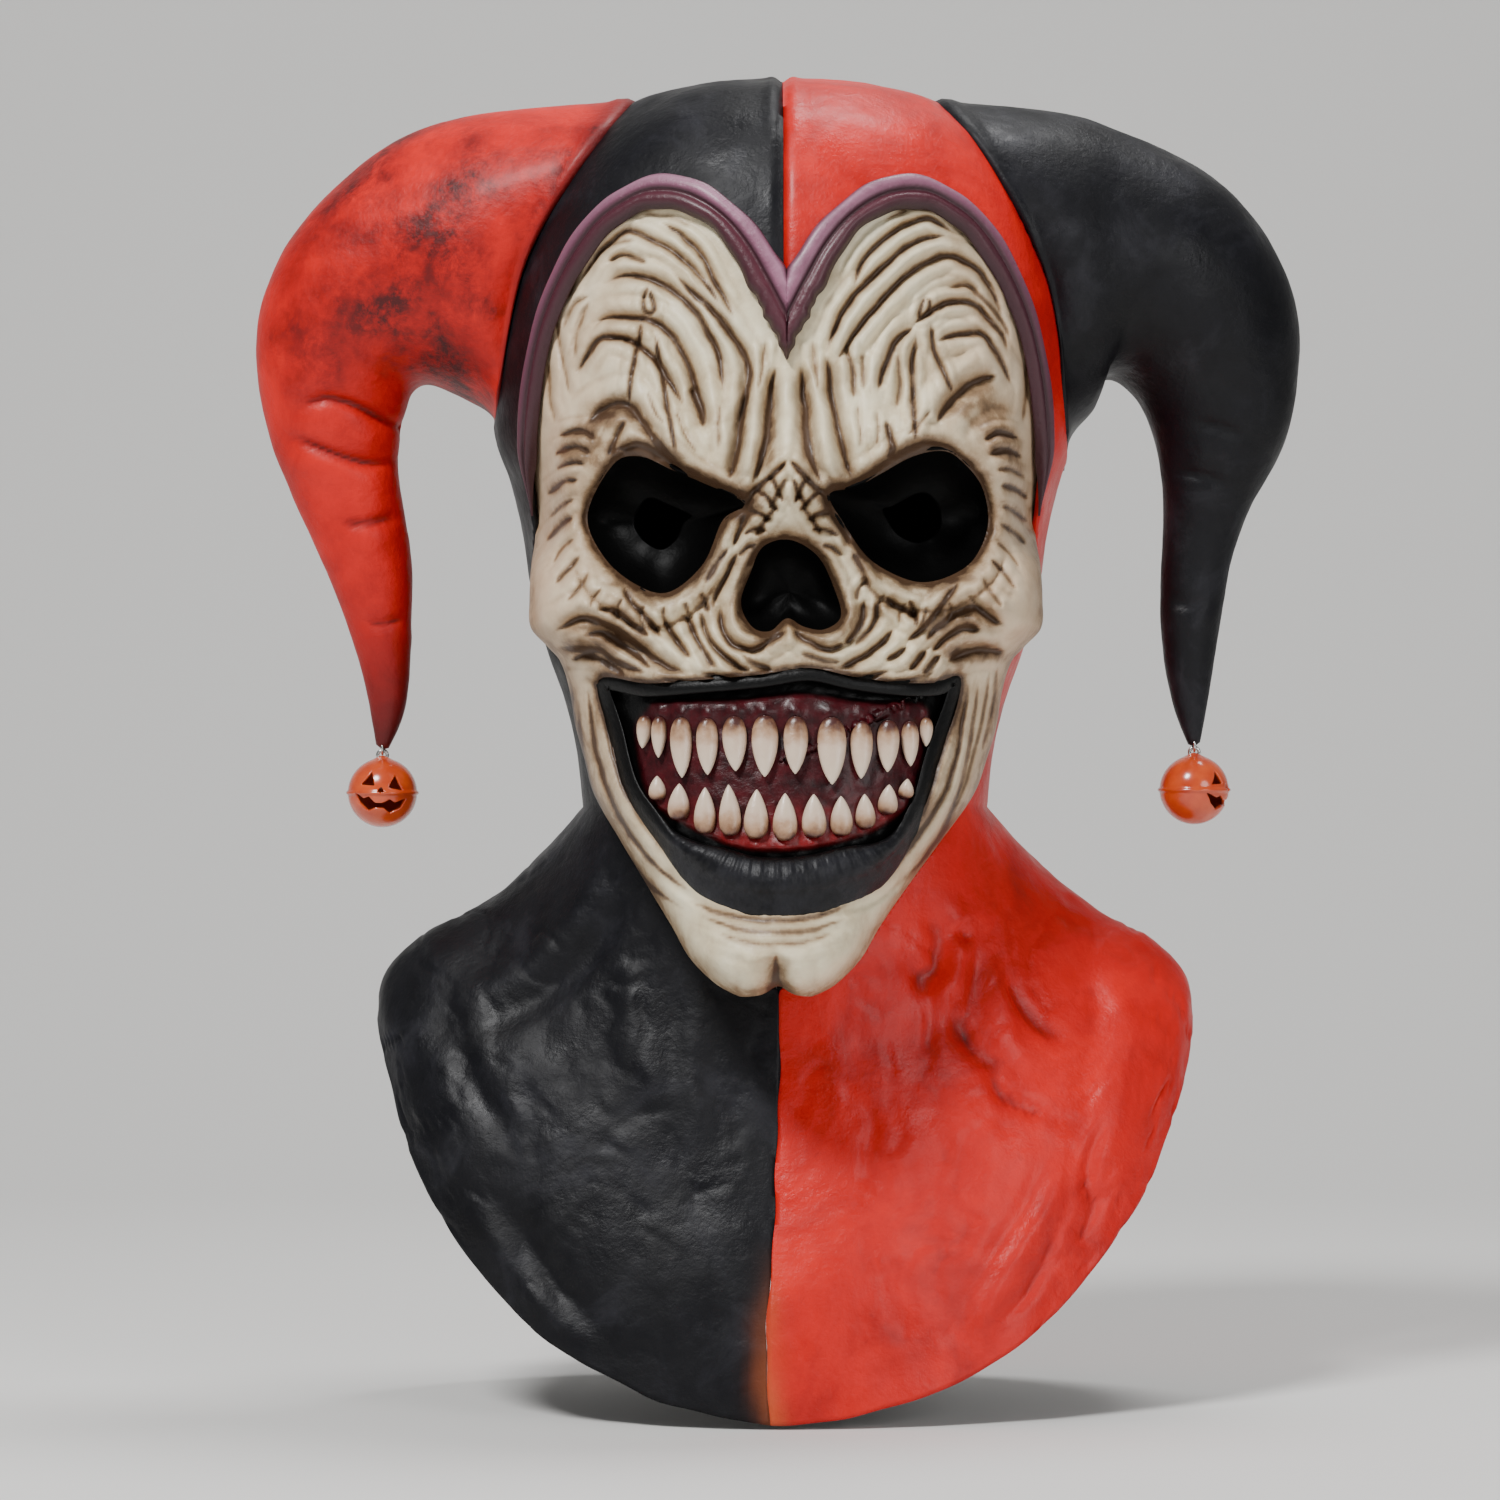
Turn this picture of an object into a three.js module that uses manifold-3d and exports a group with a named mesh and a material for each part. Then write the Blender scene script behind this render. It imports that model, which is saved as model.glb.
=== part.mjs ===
// Full-head jester mask in soft latex, with a skull face, drooping horns and bells.
// Millimetres, +Z up. The face looks along -Y, and the photo's left side is -X.
// The origin is inside the crown, at the point that rests on top of the wearer's head.
import * as THREE from 'three';
import { mergeVertices } from 'three/addons/utils/BufferGeometryUtils.js';
import Module from 'manifold-3d';

const wasm = await Module();
wasm.setup();

// Head and neck. Tables below give shares of these sizes.
const head_half = 98;
const head_drop = 300;
const head_front = 99;
const head_back = 115;
const wall = 2;
const gap = 0.3;
const section_power = 2.2;

// Bib: half width at the shoulders, reach to the front and back, and how low its hem hangs
const bib_half = 136;
const bib_front = 95;
const bib_back = 92;
const shoulder_drop = 310;
const hem_front_extra = 126;
const hem_back_extra = 90;
const hem_round = 0.15;
const colour_split = -1;
const neck_split = -240;

// Face skin
const face_reach = 124;
const face_power = 2.1;
const face_back = -8;
const inset_lean = 1.2;
const under_hood_gaps = 5;
const chin_lean = 3.5;
const tuck_start = 70;
const tuck_end = 82;
const steepest = 4;
const socket_depth = 13;
const eye_hole_share = 0.36;
const nose_depth = 9;
const dish_wall = 1.8;

// Mouth
const upper_lip = 4;
const side_lip = 4.4;
const lower_lip = 12;
const lip_rise = 2.6;
const lip_back = 3;
const gum_wall = 2.2;
const gum_rise = 0.8;
const upper_gum = { down: 0.695, tall: 0.015 };
const lower_gum = { down: 0.835, tall: 0.02 };
const tooth_half = 3.4;
const tooth_thick = 4.4;

// Purple trim round the face
const trim_half = 5.2;
const trim_rise = 3.2;

// Horns
const horn_reach = 174;
const horn_drop = 222;
const horn_base = 119;
const horn_flat = 0.95;
const horn_wall = 1.8;
const horn_hollow_end = 0.9;
const horn_clear = 1;
const seam_lift = 0.4;
const seam_past_top = 2;
const seam_past_bottom = 8;
const horn_floor_extra = 10;

// Bells and the rings that tie them
const bell_radius = 11.6;
const bell_wall = 1.1;
const bell_below_tip = 15.6;
const bell_seam_height = 1.2;
const bell_seam_rise = 0.5;
const bell_face_from = 0.3;
const loop_radius = 1.6;
const loop_wire = 0.6;
const loop_sunk = 0.6;
const ring_radius = 1.9;
const ring_wire = 0.5;
const ring_play = 0.05;

const points_round_hood = 24;
const points_across_face = 15;
const points_round_horn = 12;
const points_round_mouth = 24;
const points_round_eye = 14;
const points_round_bell = 12;

// Head sections from the crown to the neck
const hood_rows = [
  { down: 0.0, half: 0.33, front: 0.36, back: 0.36 },
  { down: 0.015, half: 0.5, front: 0.55, back: 0.53 },
  { down: 0.035, half: 0.6, front: 0.67, back: 0.65 },
  { down: 0.06, half: 0.7, front: 0.77, back: 0.73 },
  { down: 0.1, half: 0.8, front: 0.86, back: 0.82 },
  { down: 0.15, half: 0.888, front: 0.925, back: 0.89 },
  { down: 0.21, half: 0.95, front: 0.97, back: 0.945 },
  { down: 0.285, half: 0.99, front: 1.0, back: 0.98 },
  { down: 0.35, half: 1.0, front: 1.0, back: 1.0 },
  { down: 0.395, half: 0.985, front: 0.99, back: 1.0 },
  { down: 0.435, half: 0.94, front: 0.98, back: 0.99 },
  { down: 0.495, half: 0.895, front: 0.955, back: 0.97 },
  { down: 0.55, half: 0.87, front: 0.91, back: 0.93 },
  { down: 0.617, half: 0.82, front: 0.85, back: 0.89 },
  { down: 0.683, half: 0.75, front: 0.76, back: 0.83 },
  { down: 0.74, half: 0.71, front: 0.69, back: 0.76 },
  { down: 0.8, half: 0.69, front: 0.645, back: 0.7 },
];

// Bib from the neck to the hem: shares of the drop, and of the way out at the side and the front
const bib_rows = [
  { drop: 0.2, side: 0.18, front: 0.03 },
  { drop: 0.38, side: 0.37, front: 0.12 },
  { drop: 0.51, side: 0.56, front: 0.3 },
  { drop: 0.62, side: 0.78, front: 0.5 },
  { drop: 0.8, side: 0.96, front: 0.82 },
  { drop: 1.0, side: 1.0, front: 1.0 },
];

// Face skin: half width, depth at the side and front, how far it has its own form, and the hidden tuck
const face_rows = [
  { down: 0.115, half: 0.36, side: 0.5, front: 0.7, own: 0, tuck: 1 },
  { down: 0.135, half: 0.6, side: 0.48, front: 0.74, own: 0, tuck: 1 },
  { down: 0.165, half: 0.72, side: 0.45, front: 0.77, own: 0, tuck: 1 },
  { down: 0.21, half: 0.81, side: 0.42, front: 0.78, own: 0, tuck: 1 },
  { down: 0.27, half: 0.87, side: 0.38, front: 0.79, own: 0, tuck: 1 },
  { down: 0.34, half: 0.9, side: 0.36, front: 0.81, own: 0.2, tuck: 1 },
  { down: 0.4, half: 0.905, side: 0.33, front: 0.83, own: 0.8, tuck: 1 },
  { down: 0.44, half: 0.885, side: 0.31, front: 0.85, own: 1, tuck: 1 },
  { down: 0.47, half: 0.855, side: 0.3, front: 0.85, own: 1, tuck: 1 },
  { down: 0.49, half: 0.843, side: 0.32, front: 0.845, own: 1, tuck: 0.8 },
  { down: 0.51, half: 0.842, side: 0.35, front: 0.84, own: 1, tuck: 0.3 },
  { down: 0.535, half: 0.848, side: 0.4, front: 0.83, own: 1, tuck: 0 },
  { down: 0.575, half: 0.852, side: 0.46, front: 0.82, own: 1, tuck: 0 },
  { down: 0.605, half: 0.845, side: 0.49, front: 0.83, own: 1, tuck: 0 },
  { down: 0.625, half: 0.79, side: 0.48, front: 0.845, own: 1, tuck: 0 },
  { down: 0.64, half: 0.75, side: 0.47, front: 0.865, own: 1, tuck: 0 },
  { down: 0.67, half: 0.72, side: 0.45, front: 0.89, own: 1, tuck: 0 },
  { down: 0.71, half: 0.7, side: 0.44, front: 0.91, own: 1, tuck: 0 },
  { down: 0.745, half: 0.67, side: 0.44, front: 0.93, own: 1, tuck: 0 },
  { down: 0.785, half: 0.63, side: 0.45, front: 0.95, own: 1, tuck: 0 },
  { down: 0.835, half: 0.53, side: 0.5, front: 0.97, own: 1, tuck: 0 },
  { down: 0.885, half: 0.425, side: 0.57, front: 0.985, own: 1, tuck: 0 },
  { down: 0.925, half: 0.342, side: 0.66, front: 1.0, own: 1, tuck: 0 },
  { down: 0.96, half: 0.275, side: 0.75, front: 0.995, own: 1, tuck: 0 },
  { down: 0.983, half: 0.195, side: 0.82, front: 0.96, own: 1, tuck: 0 },
  { down: 0.993, half: 0.12, side: 0.86, front: 0.93, own: 1, tuck: 0 },
];

// Swellings and hollows of the face: place and size as shares of the head, rise as a share of the reach
const face_forms = [
  { name: 'brow', out: 0.36, down: 0.395, wide: 0.26, tall: 0.03, rise: 0.05, pair: true },
  { name: 'brow_knot', out: 0.09, down: 0.42, wide: 0.1, tall: 0.05, rise: 0.04, pair: true },
  { name: 'nose_bridge', out: 0.0, down: 0.45, wide: 0.14, tall: 0.06, rise: 0.06, pair: false },
  { name: 'eye_hollow', out: 0.4, down: 0.5, wide: 0.26, tall: 0.06, rise: -0.04, pair: true },
  { name: 'cheekbone', out: 0.66, down: 0.575, wide: 0.16, tall: 0.035, rise: 0.07, pair: true },
  { name: 'nostril_rim', out: 0.12, down: 0.62, wide: 0.12, tall: 0.02, rise: 0.03, pair: true },
  { name: 'cheek_hollow', out: 0.58, down: 0.7, wide: 0.12, tall: 0.06, rise: -0.05, pair: true },
  { name: 'chin', out: 0.0, down: 0.94, wide: 0.18, tall: 0.025, rise: 0.03, pair: false },
];

const left_eye_rows = [
  { out: -0.136, down: 0.476 },
  { out: -0.207, down: 0.492 },
  { out: -0.272, down: 0.539 },
  { out: -0.387, down: 0.569 },
  { out: -0.498, down: 0.559 },
  { out: -0.6, down: 0.529 },
  { out: -0.653, down: 0.484 },
  { out: -0.567, down: 0.432 },
  { out: -0.48, down: 0.424 },
  { out: -0.373, down: 0.439 },
  { out: -0.272, down: 0.453 },
];

const right_eye_rows = [
  { out: 0.137, down: 0.466 },
  { out: 0.183, down: 0.495 },
  { out: 0.258, down: 0.53 },
  { out: 0.353, down: 0.55 },
  { out: 0.445, down: 0.558 },
  { out: 0.54, down: 0.55 },
  { out: 0.617, down: 0.531 },
  { out: 0.663, down: 0.494 },
  { out: 0.643, down: 0.456 },
  { out: 0.579, down: 0.43 },
  { out: 0.513, down: 0.418 },
  { out: 0.415, down: 0.424 },
  { out: 0.313, down: 0.442 },
  { out: 0.222, down: 0.458 },
];

const nose_rows = [
  { out: 0.01, down: 0.514 },
  { out: -0.077, down: 0.521 },
  { out: -0.116, down: 0.547 },
  { out: -0.149, down: 0.58 },
  { out: -0.113, down: 0.606 },
  { out: -0.055, down: 0.611 },
  { out: 0.0, down: 0.597 },
  { out: 0.055, down: 0.606 },
  { out: 0.12, down: 0.609 },
  { out: 0.176, down: 0.595 },
  { out: 0.153, down: 0.564 },
  { out: 0.101, down: 0.531 },
];

const mouth_rows = [
  { out: -0.616, down: 0.662 },
  { out: -0.451, down: 0.666 },
  { out: -0.258, down: 0.662 },
  { out: -0.087, down: 0.657 },
  { out: 0.071, down: 0.65 },
  { out: 0.213, down: 0.659 },
  { out: 0.357, down: 0.665 },
  { out: 0.483, down: 0.665 },
  { out: 0.566, down: 0.658 },
  { out: 0.556, down: 0.692 },
  { out: 0.493, down: 0.748 },
  { out: 0.446, down: 0.798 },
  { out: 0.336, down: 0.853 },
  { out: 0.213, down: 0.878 },
  { out: 0.025, down: 0.891 },
  { out: -0.164, down: 0.887 },
  { out: -0.307, down: 0.862 },
  { out: -0.45, down: 0.813 },
  { out: -0.529, down: 0.776 },
  { out: -0.576, down: 0.723 },
];

const upper_teeth = [
  { out: -0.463, root: 0.7, tip: 0.735, wide: 0.7 },
  { out: -0.415, root: 0.701, tip: 0.745, wide: 0.7 },
  { out: -0.343, root: 0.702, tip: 0.766, wide: 1.0 },
  { out: -0.258, root: 0.703, tip: 0.763, wide: 1.0 },
  { out: -0.17, root: 0.701, tip: 0.759, wide: 1.1 },
  { out: -0.071, root: 0.7, tip: 0.765, wide: 1.2 },
  { out: 0.029, root: 0.701, tip: 0.762, wide: 1.1 },
  { out: 0.145, root: 0.702, tip: 0.773, wide: 1.3 },
  { out: 0.242, root: 0.706, tip: 0.767, wide: 1.0 },
  { out: 0.329, root: 0.705, tip: 0.76, wide: 1.0 },
  { out: 0.4, root: 0.706, tip: 0.754, wide: 0.8 },
  { out: 0.455, root: 0.702, tip: 0.733, wide: 0.6 },
];

const lower_teeth = [
  { out: -0.42, root: 0.79, tip: 0.764, wide: 0.8 },
  { out: -0.35, root: 0.811, tip: 0.772, wide: 1.0 },
  { out: -0.265, root: 0.825, tip: 0.776, wide: 1.0 },
  { out: -0.183, root: 0.827, tip: 0.773, wide: 1.0 },
  { out: -0.1, root: 0.83, tip: 0.778, wide: 1.1 },
  { out: -0.007, root: 0.832, tip: 0.782, wide: 1.1 },
  { out: 0.087, root: 0.829, tip: 0.783, wide: 1.1 },
  { out: 0.176, root: 0.827, tip: 0.785, wide: 1.0 },
  { out: 0.254, root: 0.82, tip: 0.783, wide: 0.9 },
  { out: 0.326, root: 0.805, tip: 0.773, wide: 0.9 },
  { out: 0.386, root: 0.788, tip: 0.767, wide: 0.7 },
];

// Path of the trim from the widow's peak to its lower end, on one side
const trim_rows = [
  { out: 0.0, down: 0.275, wide: 1.5 },
  { out: 0.06, down: 0.237, wide: 1.15 },
  { out: 0.13, down: 0.197, wide: 1.05 },
  { out: 0.215, down: 0.165, wide: 1.0 },
  { out: 0.325, down: 0.143, wide: 1.0 },
  { out: 0.44, down: 0.138, wide: 1.0 },
  { out: 0.535, down: 0.15, wide: 1.0 },
  { out: 0.625, down: 0.172, wide: 0.95 },
  { out: 0.71, down: 0.21, wide: 0.9 },
  { out: 0.78, down: 0.257, wide: 0.85 },
  { out: 0.82, down: 0.3, wide: 0.8 },
  { out: 0.85, down: 0.355, wide: 0.75 },
  { out: 0.862, down: 0.415, wide: 0.65 },
  { out: 0.85, down: 0.48, wide: 0.4 },
];

// Seams where the horns leave the hood, from top to bottom
const red_seam_rows = [
  { out: 0.496, down: 0.015 },
  { out: 0.582, down: 0.057 },
  { out: 0.7, down: 0.112 },
  { out: 0.8, down: 0.163 },
  { out: 0.877, down: 0.217 },
  { out: 0.925, down: 0.28 },
  { out: 0.957, down: 0.34 },
  { out: 0.99, down: 0.383 },
];

const black_seam_rows = [
  { out: 0.496, down: 0.015 },
  { out: 0.557, down: 0.042 },
  { out: 0.636, down: 0.076 },
  { out: 0.75, down: 0.14 },
  { out: 0.826, down: 0.19 },
  { out: 0.878, down: 0.23 },
  { out: 0.91, down: 0.285 },
  { out: 0.925, down: 0.345 },
  { out: 0.955, down: 0.425 },
];

// Horn sections from base to tip: centre as shares of the way from the seam's middle to the horn's reach
// and drop, thickness as a share of the base
const red_horn_rows = [
  { out: 0.284, down: 0.0, thick: 0.84 },
  { out: 0.555, down: 0.041, thick: 0.664 },
  { out: 0.737, down: 0.142, thick: 0.521 },
  { out: 0.775, down: 0.258, thick: 0.42 },
  { out: 0.767, down: 0.319, thick: 0.386 },
  { out: 0.748, down: 0.406, thick: 0.332 },
  { out: 0.699, down: 0.506, thick: 0.282 },
  { out: 0.66, down: 0.574, thick: 0.26 },
  { out: 0.626, down: 0.657, thick: 0.214 },
  { out: 0.596, down: 0.76, thick: 0.163 },
  { out: 0.578, down: 0.864, thick: 0.12 },
  { out: 0.581, down: 0.952, thick: 0.075 },
  { out: 0.597, down: 0.986, thick: 0.035 },
];

const black_horn_rows = [
  { out: 0.241, down: 0.01, thick: 0.88 },
  { out: 0.353, down: 0.008, thick: 0.77 },
  { out: 0.47, down: 0.018, thick: 0.714 },
  { out: 0.601, down: 0.082, thick: 0.613 },
  { out: 0.682, down: 0.162, thick: 0.555 },
  { out: 0.706, down: 0.252, thick: 0.454 },
  { out: 0.713, down: 0.323, thick: 0.395 },
  { out: 0.699, down: 0.405, thick: 0.324 },
  { out: 0.675, down: 0.465, thick: 0.266 },
  { out: 0.655, down: 0.538, thick: 0.227 },
  { out: 0.627, down: 0.635, thick: 0.195 },
  { out: 0.612, down: 0.763, thick: 0.158 },
  { out: 0.612, down: 0.864, thick: 0.118 },
  { out: 0.619, down: 0.943, thick: 0.07 },
  { out: 0.629, down: 0.98, thick: 0.035 },
];

const mask = new THREE.Group();

function addPiece(name, solid, look, place) {
  const mesh = new THREE.Mesh(geometryOf(solid), new THREE.MeshStandardMaterial(look));
  mesh.name = name;
  if (place) {
    mesh.position.copy(place);
  }
  mask.add(mesh);
}

function geometryOf(solid) {
  const data = solid.getMesh();
  const geometry = new THREE.BufferGeometry();
  geometry.setAttribute('position', new THREE.BufferAttribute(Float32Array.from(data.vertProperties), 3));
  geometry.setIndex(new THREE.BufferAttribute(Uint32Array.from(data.triVerts), 1));
  geometry.computeVertexNormals();
  return geometry;
}

function solidOf(geometry) {
  geometry.deleteAttribute('normal');
  geometry.deleteAttribute('uv');
  const merged = mergeVertices(geometry, 1e-4);
  return new wasm.Manifold(new wasm.Mesh({
    numProp: 3,
    vertProperties: Float32Array.from(merged.attributes.position.array),
    triVerts: Uint32Array.from(merged.index.array),
  }));
}

// Skin through rings of points. It closes on itself as a loop, or with a fan at each end.
function loft(rings, options = {}) {
  const count = rings[0].length;
  const points = rings.flat();
  const faces = [];
  const strips = options.loop ? rings.length : rings.length - 1;
  for (let i = 0; i < strips; i++) {
    const here = i * count;
    const next = ((i + 1) % rings.length) * count;
    for (let j = 0; j < count; j++) {
      const k = (j + 1) % count;
      faces.push([here + j, here + k, next + k], [here + j, next + k, next + j]);
    }
  }
  if (!options.loop) {
    const last = (rings.length - 1) * count;
    const start = points.push(options.start ?? middle(rings[0])) - 1;
    const end = points.push(options.end ?? middle(rings[rings.length - 1])) - 1;
    for (let j = 0; j < count; j++) {
      const k = (j + 1) % count;
      faces.push([start, k, j], [end, last + j, last + k]);
    }
  }
  if (volumeOf(points, faces) < 0) {
    faces.forEach((face) => face.reverse());
  }
  const geometry = new THREE.BufferGeometry().setFromPoints(points);
  geometry.setIndex(faces.flat());
  return solidOf(geometry);
}

function volumeOf(points, faces) {
  return faces.reduce((sum, [a, b, c]) => {
    return sum + points[a].dot(new THREE.Vector3().crossVectors(points[b], points[c])) / 6;
  }, 0);
}

function middle(ring) {
  const sum = ring.reduce((total, point) => total.add(point), new THREE.Vector3());
  return sum.divideScalar(ring.length);
}

// Smooth value of a column, between the rows of a table
function valueAt(rows, key, place, column) {
  let i = 1;
  while (i < rows.length - 1 && rows[i][key] < place) {
    i++;
  }
  const a = rows[i - 1];
  const b = rows[i];
  const before = rows[Math.max(i - 2, 0)];
  const after = rows[Math.min(i + 1, rows.length - 1)];
  const span = b[key] - a[key];
  const t = THREE.MathUtils.clamp((place - a[key]) / span, 0, 1);
  const leave = (b[column] - before[column]) / (b[key] - before[key]) * span;
  const arrive = (after[column] - a[column]) / (after[key] - a[key]) * span;
  const t2 = t * t;
  const t3 = t2 * t;
  return a[column] * (2 * t3 - 3 * t2 + 1) + leave * (t3 - 2 * t2 + t)
    + b[column] * (3 * t2 - 2 * t3) + arrive * (t3 - t2);
}

function smooth(value, from, to) {
  return THREE.MathUtils.smoothstep(value, from, to);
}

function mix(a, b, share) {
  return a + (b - a) * share;
}

function bend(value, power) {
  return Math.sign(value) * Math.abs(value) ** power;
}

// Point on the head at an angle from straight ahead
function headPoint(row, angle) {
  const reach = Math.cos(angle) > 0 ? row.front * head_front : row.back * head_back;
  const power = 2 / section_power;
  return new THREE.Vector3(
    row.half * head_half * bend(Math.sin(angle), power),
    -reach * bend(Math.cos(angle), power),
    -row.down * head_drop,
  );
}

// How far the hem hangs between the shoulder and its lowest point, rounded over the shoulder
function hemShare(facing) {
  return (Math.hypot(facing, hem_round) - hem_round) / (Math.hypot(1, hem_round) - hem_round);
}

function bibPoint(row, angle) {
  const facing = Math.cos(angle);
  const start = headPoint(hood_rows[hood_rows.length - 1], angle);
  const end = new THREE.Vector3(
    bib_half * Math.sin(angle),
    -facing * (facing > 0 ? bib_front : bib_back),
    -shoulder_drop - hemShare(facing) * (facing > 0 ? hem_front_extra : hem_back_extra),
  );
  const out = mix(row.side, row.front, facing * facing);
  return new THREE.Vector3(
    mix(start.x, end.x, out),
    mix(start.y, end.y, out),
    mix(start.z, end.z, row.drop),
  );
}

// Depth of the hood's outside in front of a point in the front view
function hoodFront(x, z) {
  const down = -z / head_drop;
  const half = valueAt(hood_rows, 'down', down, 'half') * head_half;
  const front = valueAt(hood_rows, 'down', down, 'front') * head_front;
  const share = Math.min(Math.abs(x) / half, 1);
  return -front * (1 - share ** section_power) ** (1 / section_power);
}

// Outward direction of the hood's front
function hoodNormal(x, z) {
  const step = 1;
  const slope_x = (hoodFront(x + step, z) - hoodFront(x - step, z)) / (2 * step);
  const slope_z = (hoodFront(x, z + step) - hoodFront(x, z - step)) / (2 * step);
  return new THREE.Vector3(slope_x, -1, slope_z).normalize();
}

function hoodBack(x, z) {
  const down = -z / head_drop;
  const half = valueAt(hood_rows, 'down', down, 'half') * head_half;
  const back = valueAt(hood_rows, 'down', down, 'back') * head_back;
  const share = Math.min(Math.abs(x) / half, 1);
  return back * (1 - share ** section_power) ** (1 / section_power);
}

// Rings moved outward along their normals
function movedRings(rings, distance) {
  return rings.map((ring, i) => ring.map((point, j) => {
    const count = ring.length;
    const around = new THREE.Vector3().subVectors(ring[(j + 1) % count], ring[(j + count - 1) % count]);
    const upper = rings[Math.max(i - 1, 0)][j];
    const lower = rings[Math.min(i + 1, rings.length - 1)][j];
    const along = new THREE.Vector3().subVectors(lower, upper);
    const normal = along.cross(around).normalize();
    return point.clone().addScaledVector(normal, distance);
  }));
}

function hoodRings() {
  const angles = [];
  for (let j = 0; j < points_round_hood; j++) {
    angles.push((j + 0.5) / points_round_hood * 2 * Math.PI);
  }
  const head = hood_rows.map((row) => angles.map((angle) => headPoint(row, angle)));
  const bib = bib_rows.map((row) => angles.map((angle) => bibPoint(row, angle)));
  return [...head, ...bib];
}

// Hood wall between two surfaces, each moved from the true outside
function hoodShell(outer, inner) {
  const rings = hoodRings();
  const outside = movedRings(rings, outer);
  const inside = movedRings(rings, inner).reverse();
  return loft([...outside, ...inside], {
    start: new THREE.Vector3(0, 0, wall + outer),
    end: new THREE.Vector3(0, 0, wall + inner),
  });
}

// Everything inside a surface that is moved from the hood's outside
function hoodCore(outer) {
  return loft(movedRings(hoodRings(), outer), { start: new THREE.Vector3(0, 0, wall + outer) });
}

// Prism along Y over a closed outline of [x, z] points
function prism(outline, from, to) {
  const shape = new THREE.Shape(outline.map(([x, z]) => new THREE.Vector2(x, z)));
  const geometry = new THREE.ExtrudeGeometry(shape, { depth: to - from, bevelEnabled: false });
  geometry.rotateX(Math.PI / 2);
  geometry.translate(0, to, 0);
  return solidOf(geometry);
}

function atShares(row, side = 1) {
  return [side * row.out * head_half, -row.down * head_drop];
}

// Closed outline in the front view, smoothed through its rows
function smoothOutline(rows, count) {
  const points = rows.map((row) => {
    const [x, z] = atShares(row);
    return new THREE.Vector3(x, 0, z);
  });
  const curve = new THREE.CatmullRomCurve3(points, true, 'centripetal');
  return curve.getSpacedPoints(count).slice(0, count).map((point) => [point.x, point.z]);
}

// Outline moved outward by a distance
function grown(outline, distance) {
  const count = outline.length;
  const turn = Math.sign(areaOf(outline));
  return outline.map(([x, z], i) => {
    const [px, pz] = outline[(i + count - 1) % count];
    const [nx, nz] = outline[(i + 1) % count];
    const length = Math.hypot(nx - px, nz - pz);
    return [x + turn * distance * (nz - pz) / length, z - turn * distance * (nx - px) / length];
  });
}

function areaOf(outline) {
  return outline.reduce((sum, [x, z], i) => {
    const [nx, nz] = outline[(i + 1) % outline.length];
    return sum + (x * nz - nx * z) / 2;
  }, 0);
}

// Middle line of the face, which leans aside at the chin
function faceMiddle(z) {
  return -chin_lean * smooth(-z / head_drop, 0.72, 0.95);
}

function faceForms(x, z) {
  let rise = 0;
  for (const form of face_forms) {
    const sides = form.pair ? [-1, 1] : [1];
    for (const side of sides) {
      const across = (x - faceMiddle(z) - side * form.out * head_half) / (form.wide * head_half);
      const along = (z + form.down * head_drop) / (form.tall * head_drop);
      rise += form.rise * face_reach * Math.exp(-across * across - along * along);
    }
  }
  return rise;
}

// Depth of the face's outside, or of its inside for an inset
function faceFront(x, z, inset = 0) {
  const down = -z / head_drop;
  const half = valueAt(face_rows, 'down', down, 'half') * head_half - inset;
  const side = valueAt(face_rows, 'down', down, 'side') * face_reach;
  const front = valueAt(face_rows, 'down', down, 'front') * face_reach;
  const off = Math.abs(x - faceMiddle(z));
  const share = Math.min(off / half, 1);
  const crown = (1 - share ** face_power) ** (1 / face_power);
  const edge = smooth(off, tuck_start, tuck_end) * valueAt(face_rows, 'down', down, 'tuck');
  const own = THREE.MathUtils.clamp(valueAt(face_rows, 'down', down, 'own'), 0, 1) * (1 - edge);
  const own_depth = -side - (front - side) * crown - faceForms(x, z) * Math.min(3 * crown, 1);
  const steep = Math.min(-1 / hoodNormal(x, z).y, steepest);
  const under_hood = hoodFront(x, z) + (wall + under_hood_gaps * gap) * steep;
  return mix(under_hood, own_depth, own) + inset_lean * inset;
}

function faceSolid(inset, back) {
  const top = -face_rows[0].down * head_drop;
  const bottom = -face_rows[face_rows.length - 1].down * head_drop;
  const centre = (top + bottom) / 2;
  const shrink = 1 - 2 * inset / (top - bottom);
  const rings = face_rows.map((row) => {
    const z = centre + (-row.down * head_drop - centre) * shrink;
    const half = row.half * head_half - inset;
    const front = [];
    const rear = [];
    for (let k = 0; k <= points_across_face; k++) {
      const share = Math.sin(Math.PI * (k / points_across_face - 0.5));
      const x = faceMiddle(z) + share * half;
      front.push(new THREE.Vector3(x, faceFront(x, z, inset), z));
      rear.unshift(new THREE.Vector3(x, back, z));
    }
    return [...front, ...rear];
  });
  return loft(rings);
}

// Window in the hood: inside the trim above, and round the jaw below
function faceWindow(clearance) {
  const right = trim_rows.map((row) => atShares(row, 1));
  const left = trim_rows.slice(1).map((row) => atShares(row, -1));
  const jaw = face_rows.filter((row) => row.tuck < 1);
  const edge = (side) => jaw.map((row) => {
    const z = -row.down * head_drop;
    return [faceMiddle(z) + side * row.half * head_half, z];
  });
  const outline = [...right, ...edge(1), ...edge(-1).reverse(), ...left.reverse()];
  return grown(outline, clearance);
}

function hornSeam(rows, side) {
  return rows.map((row) => atShares(row, side));
}

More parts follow.
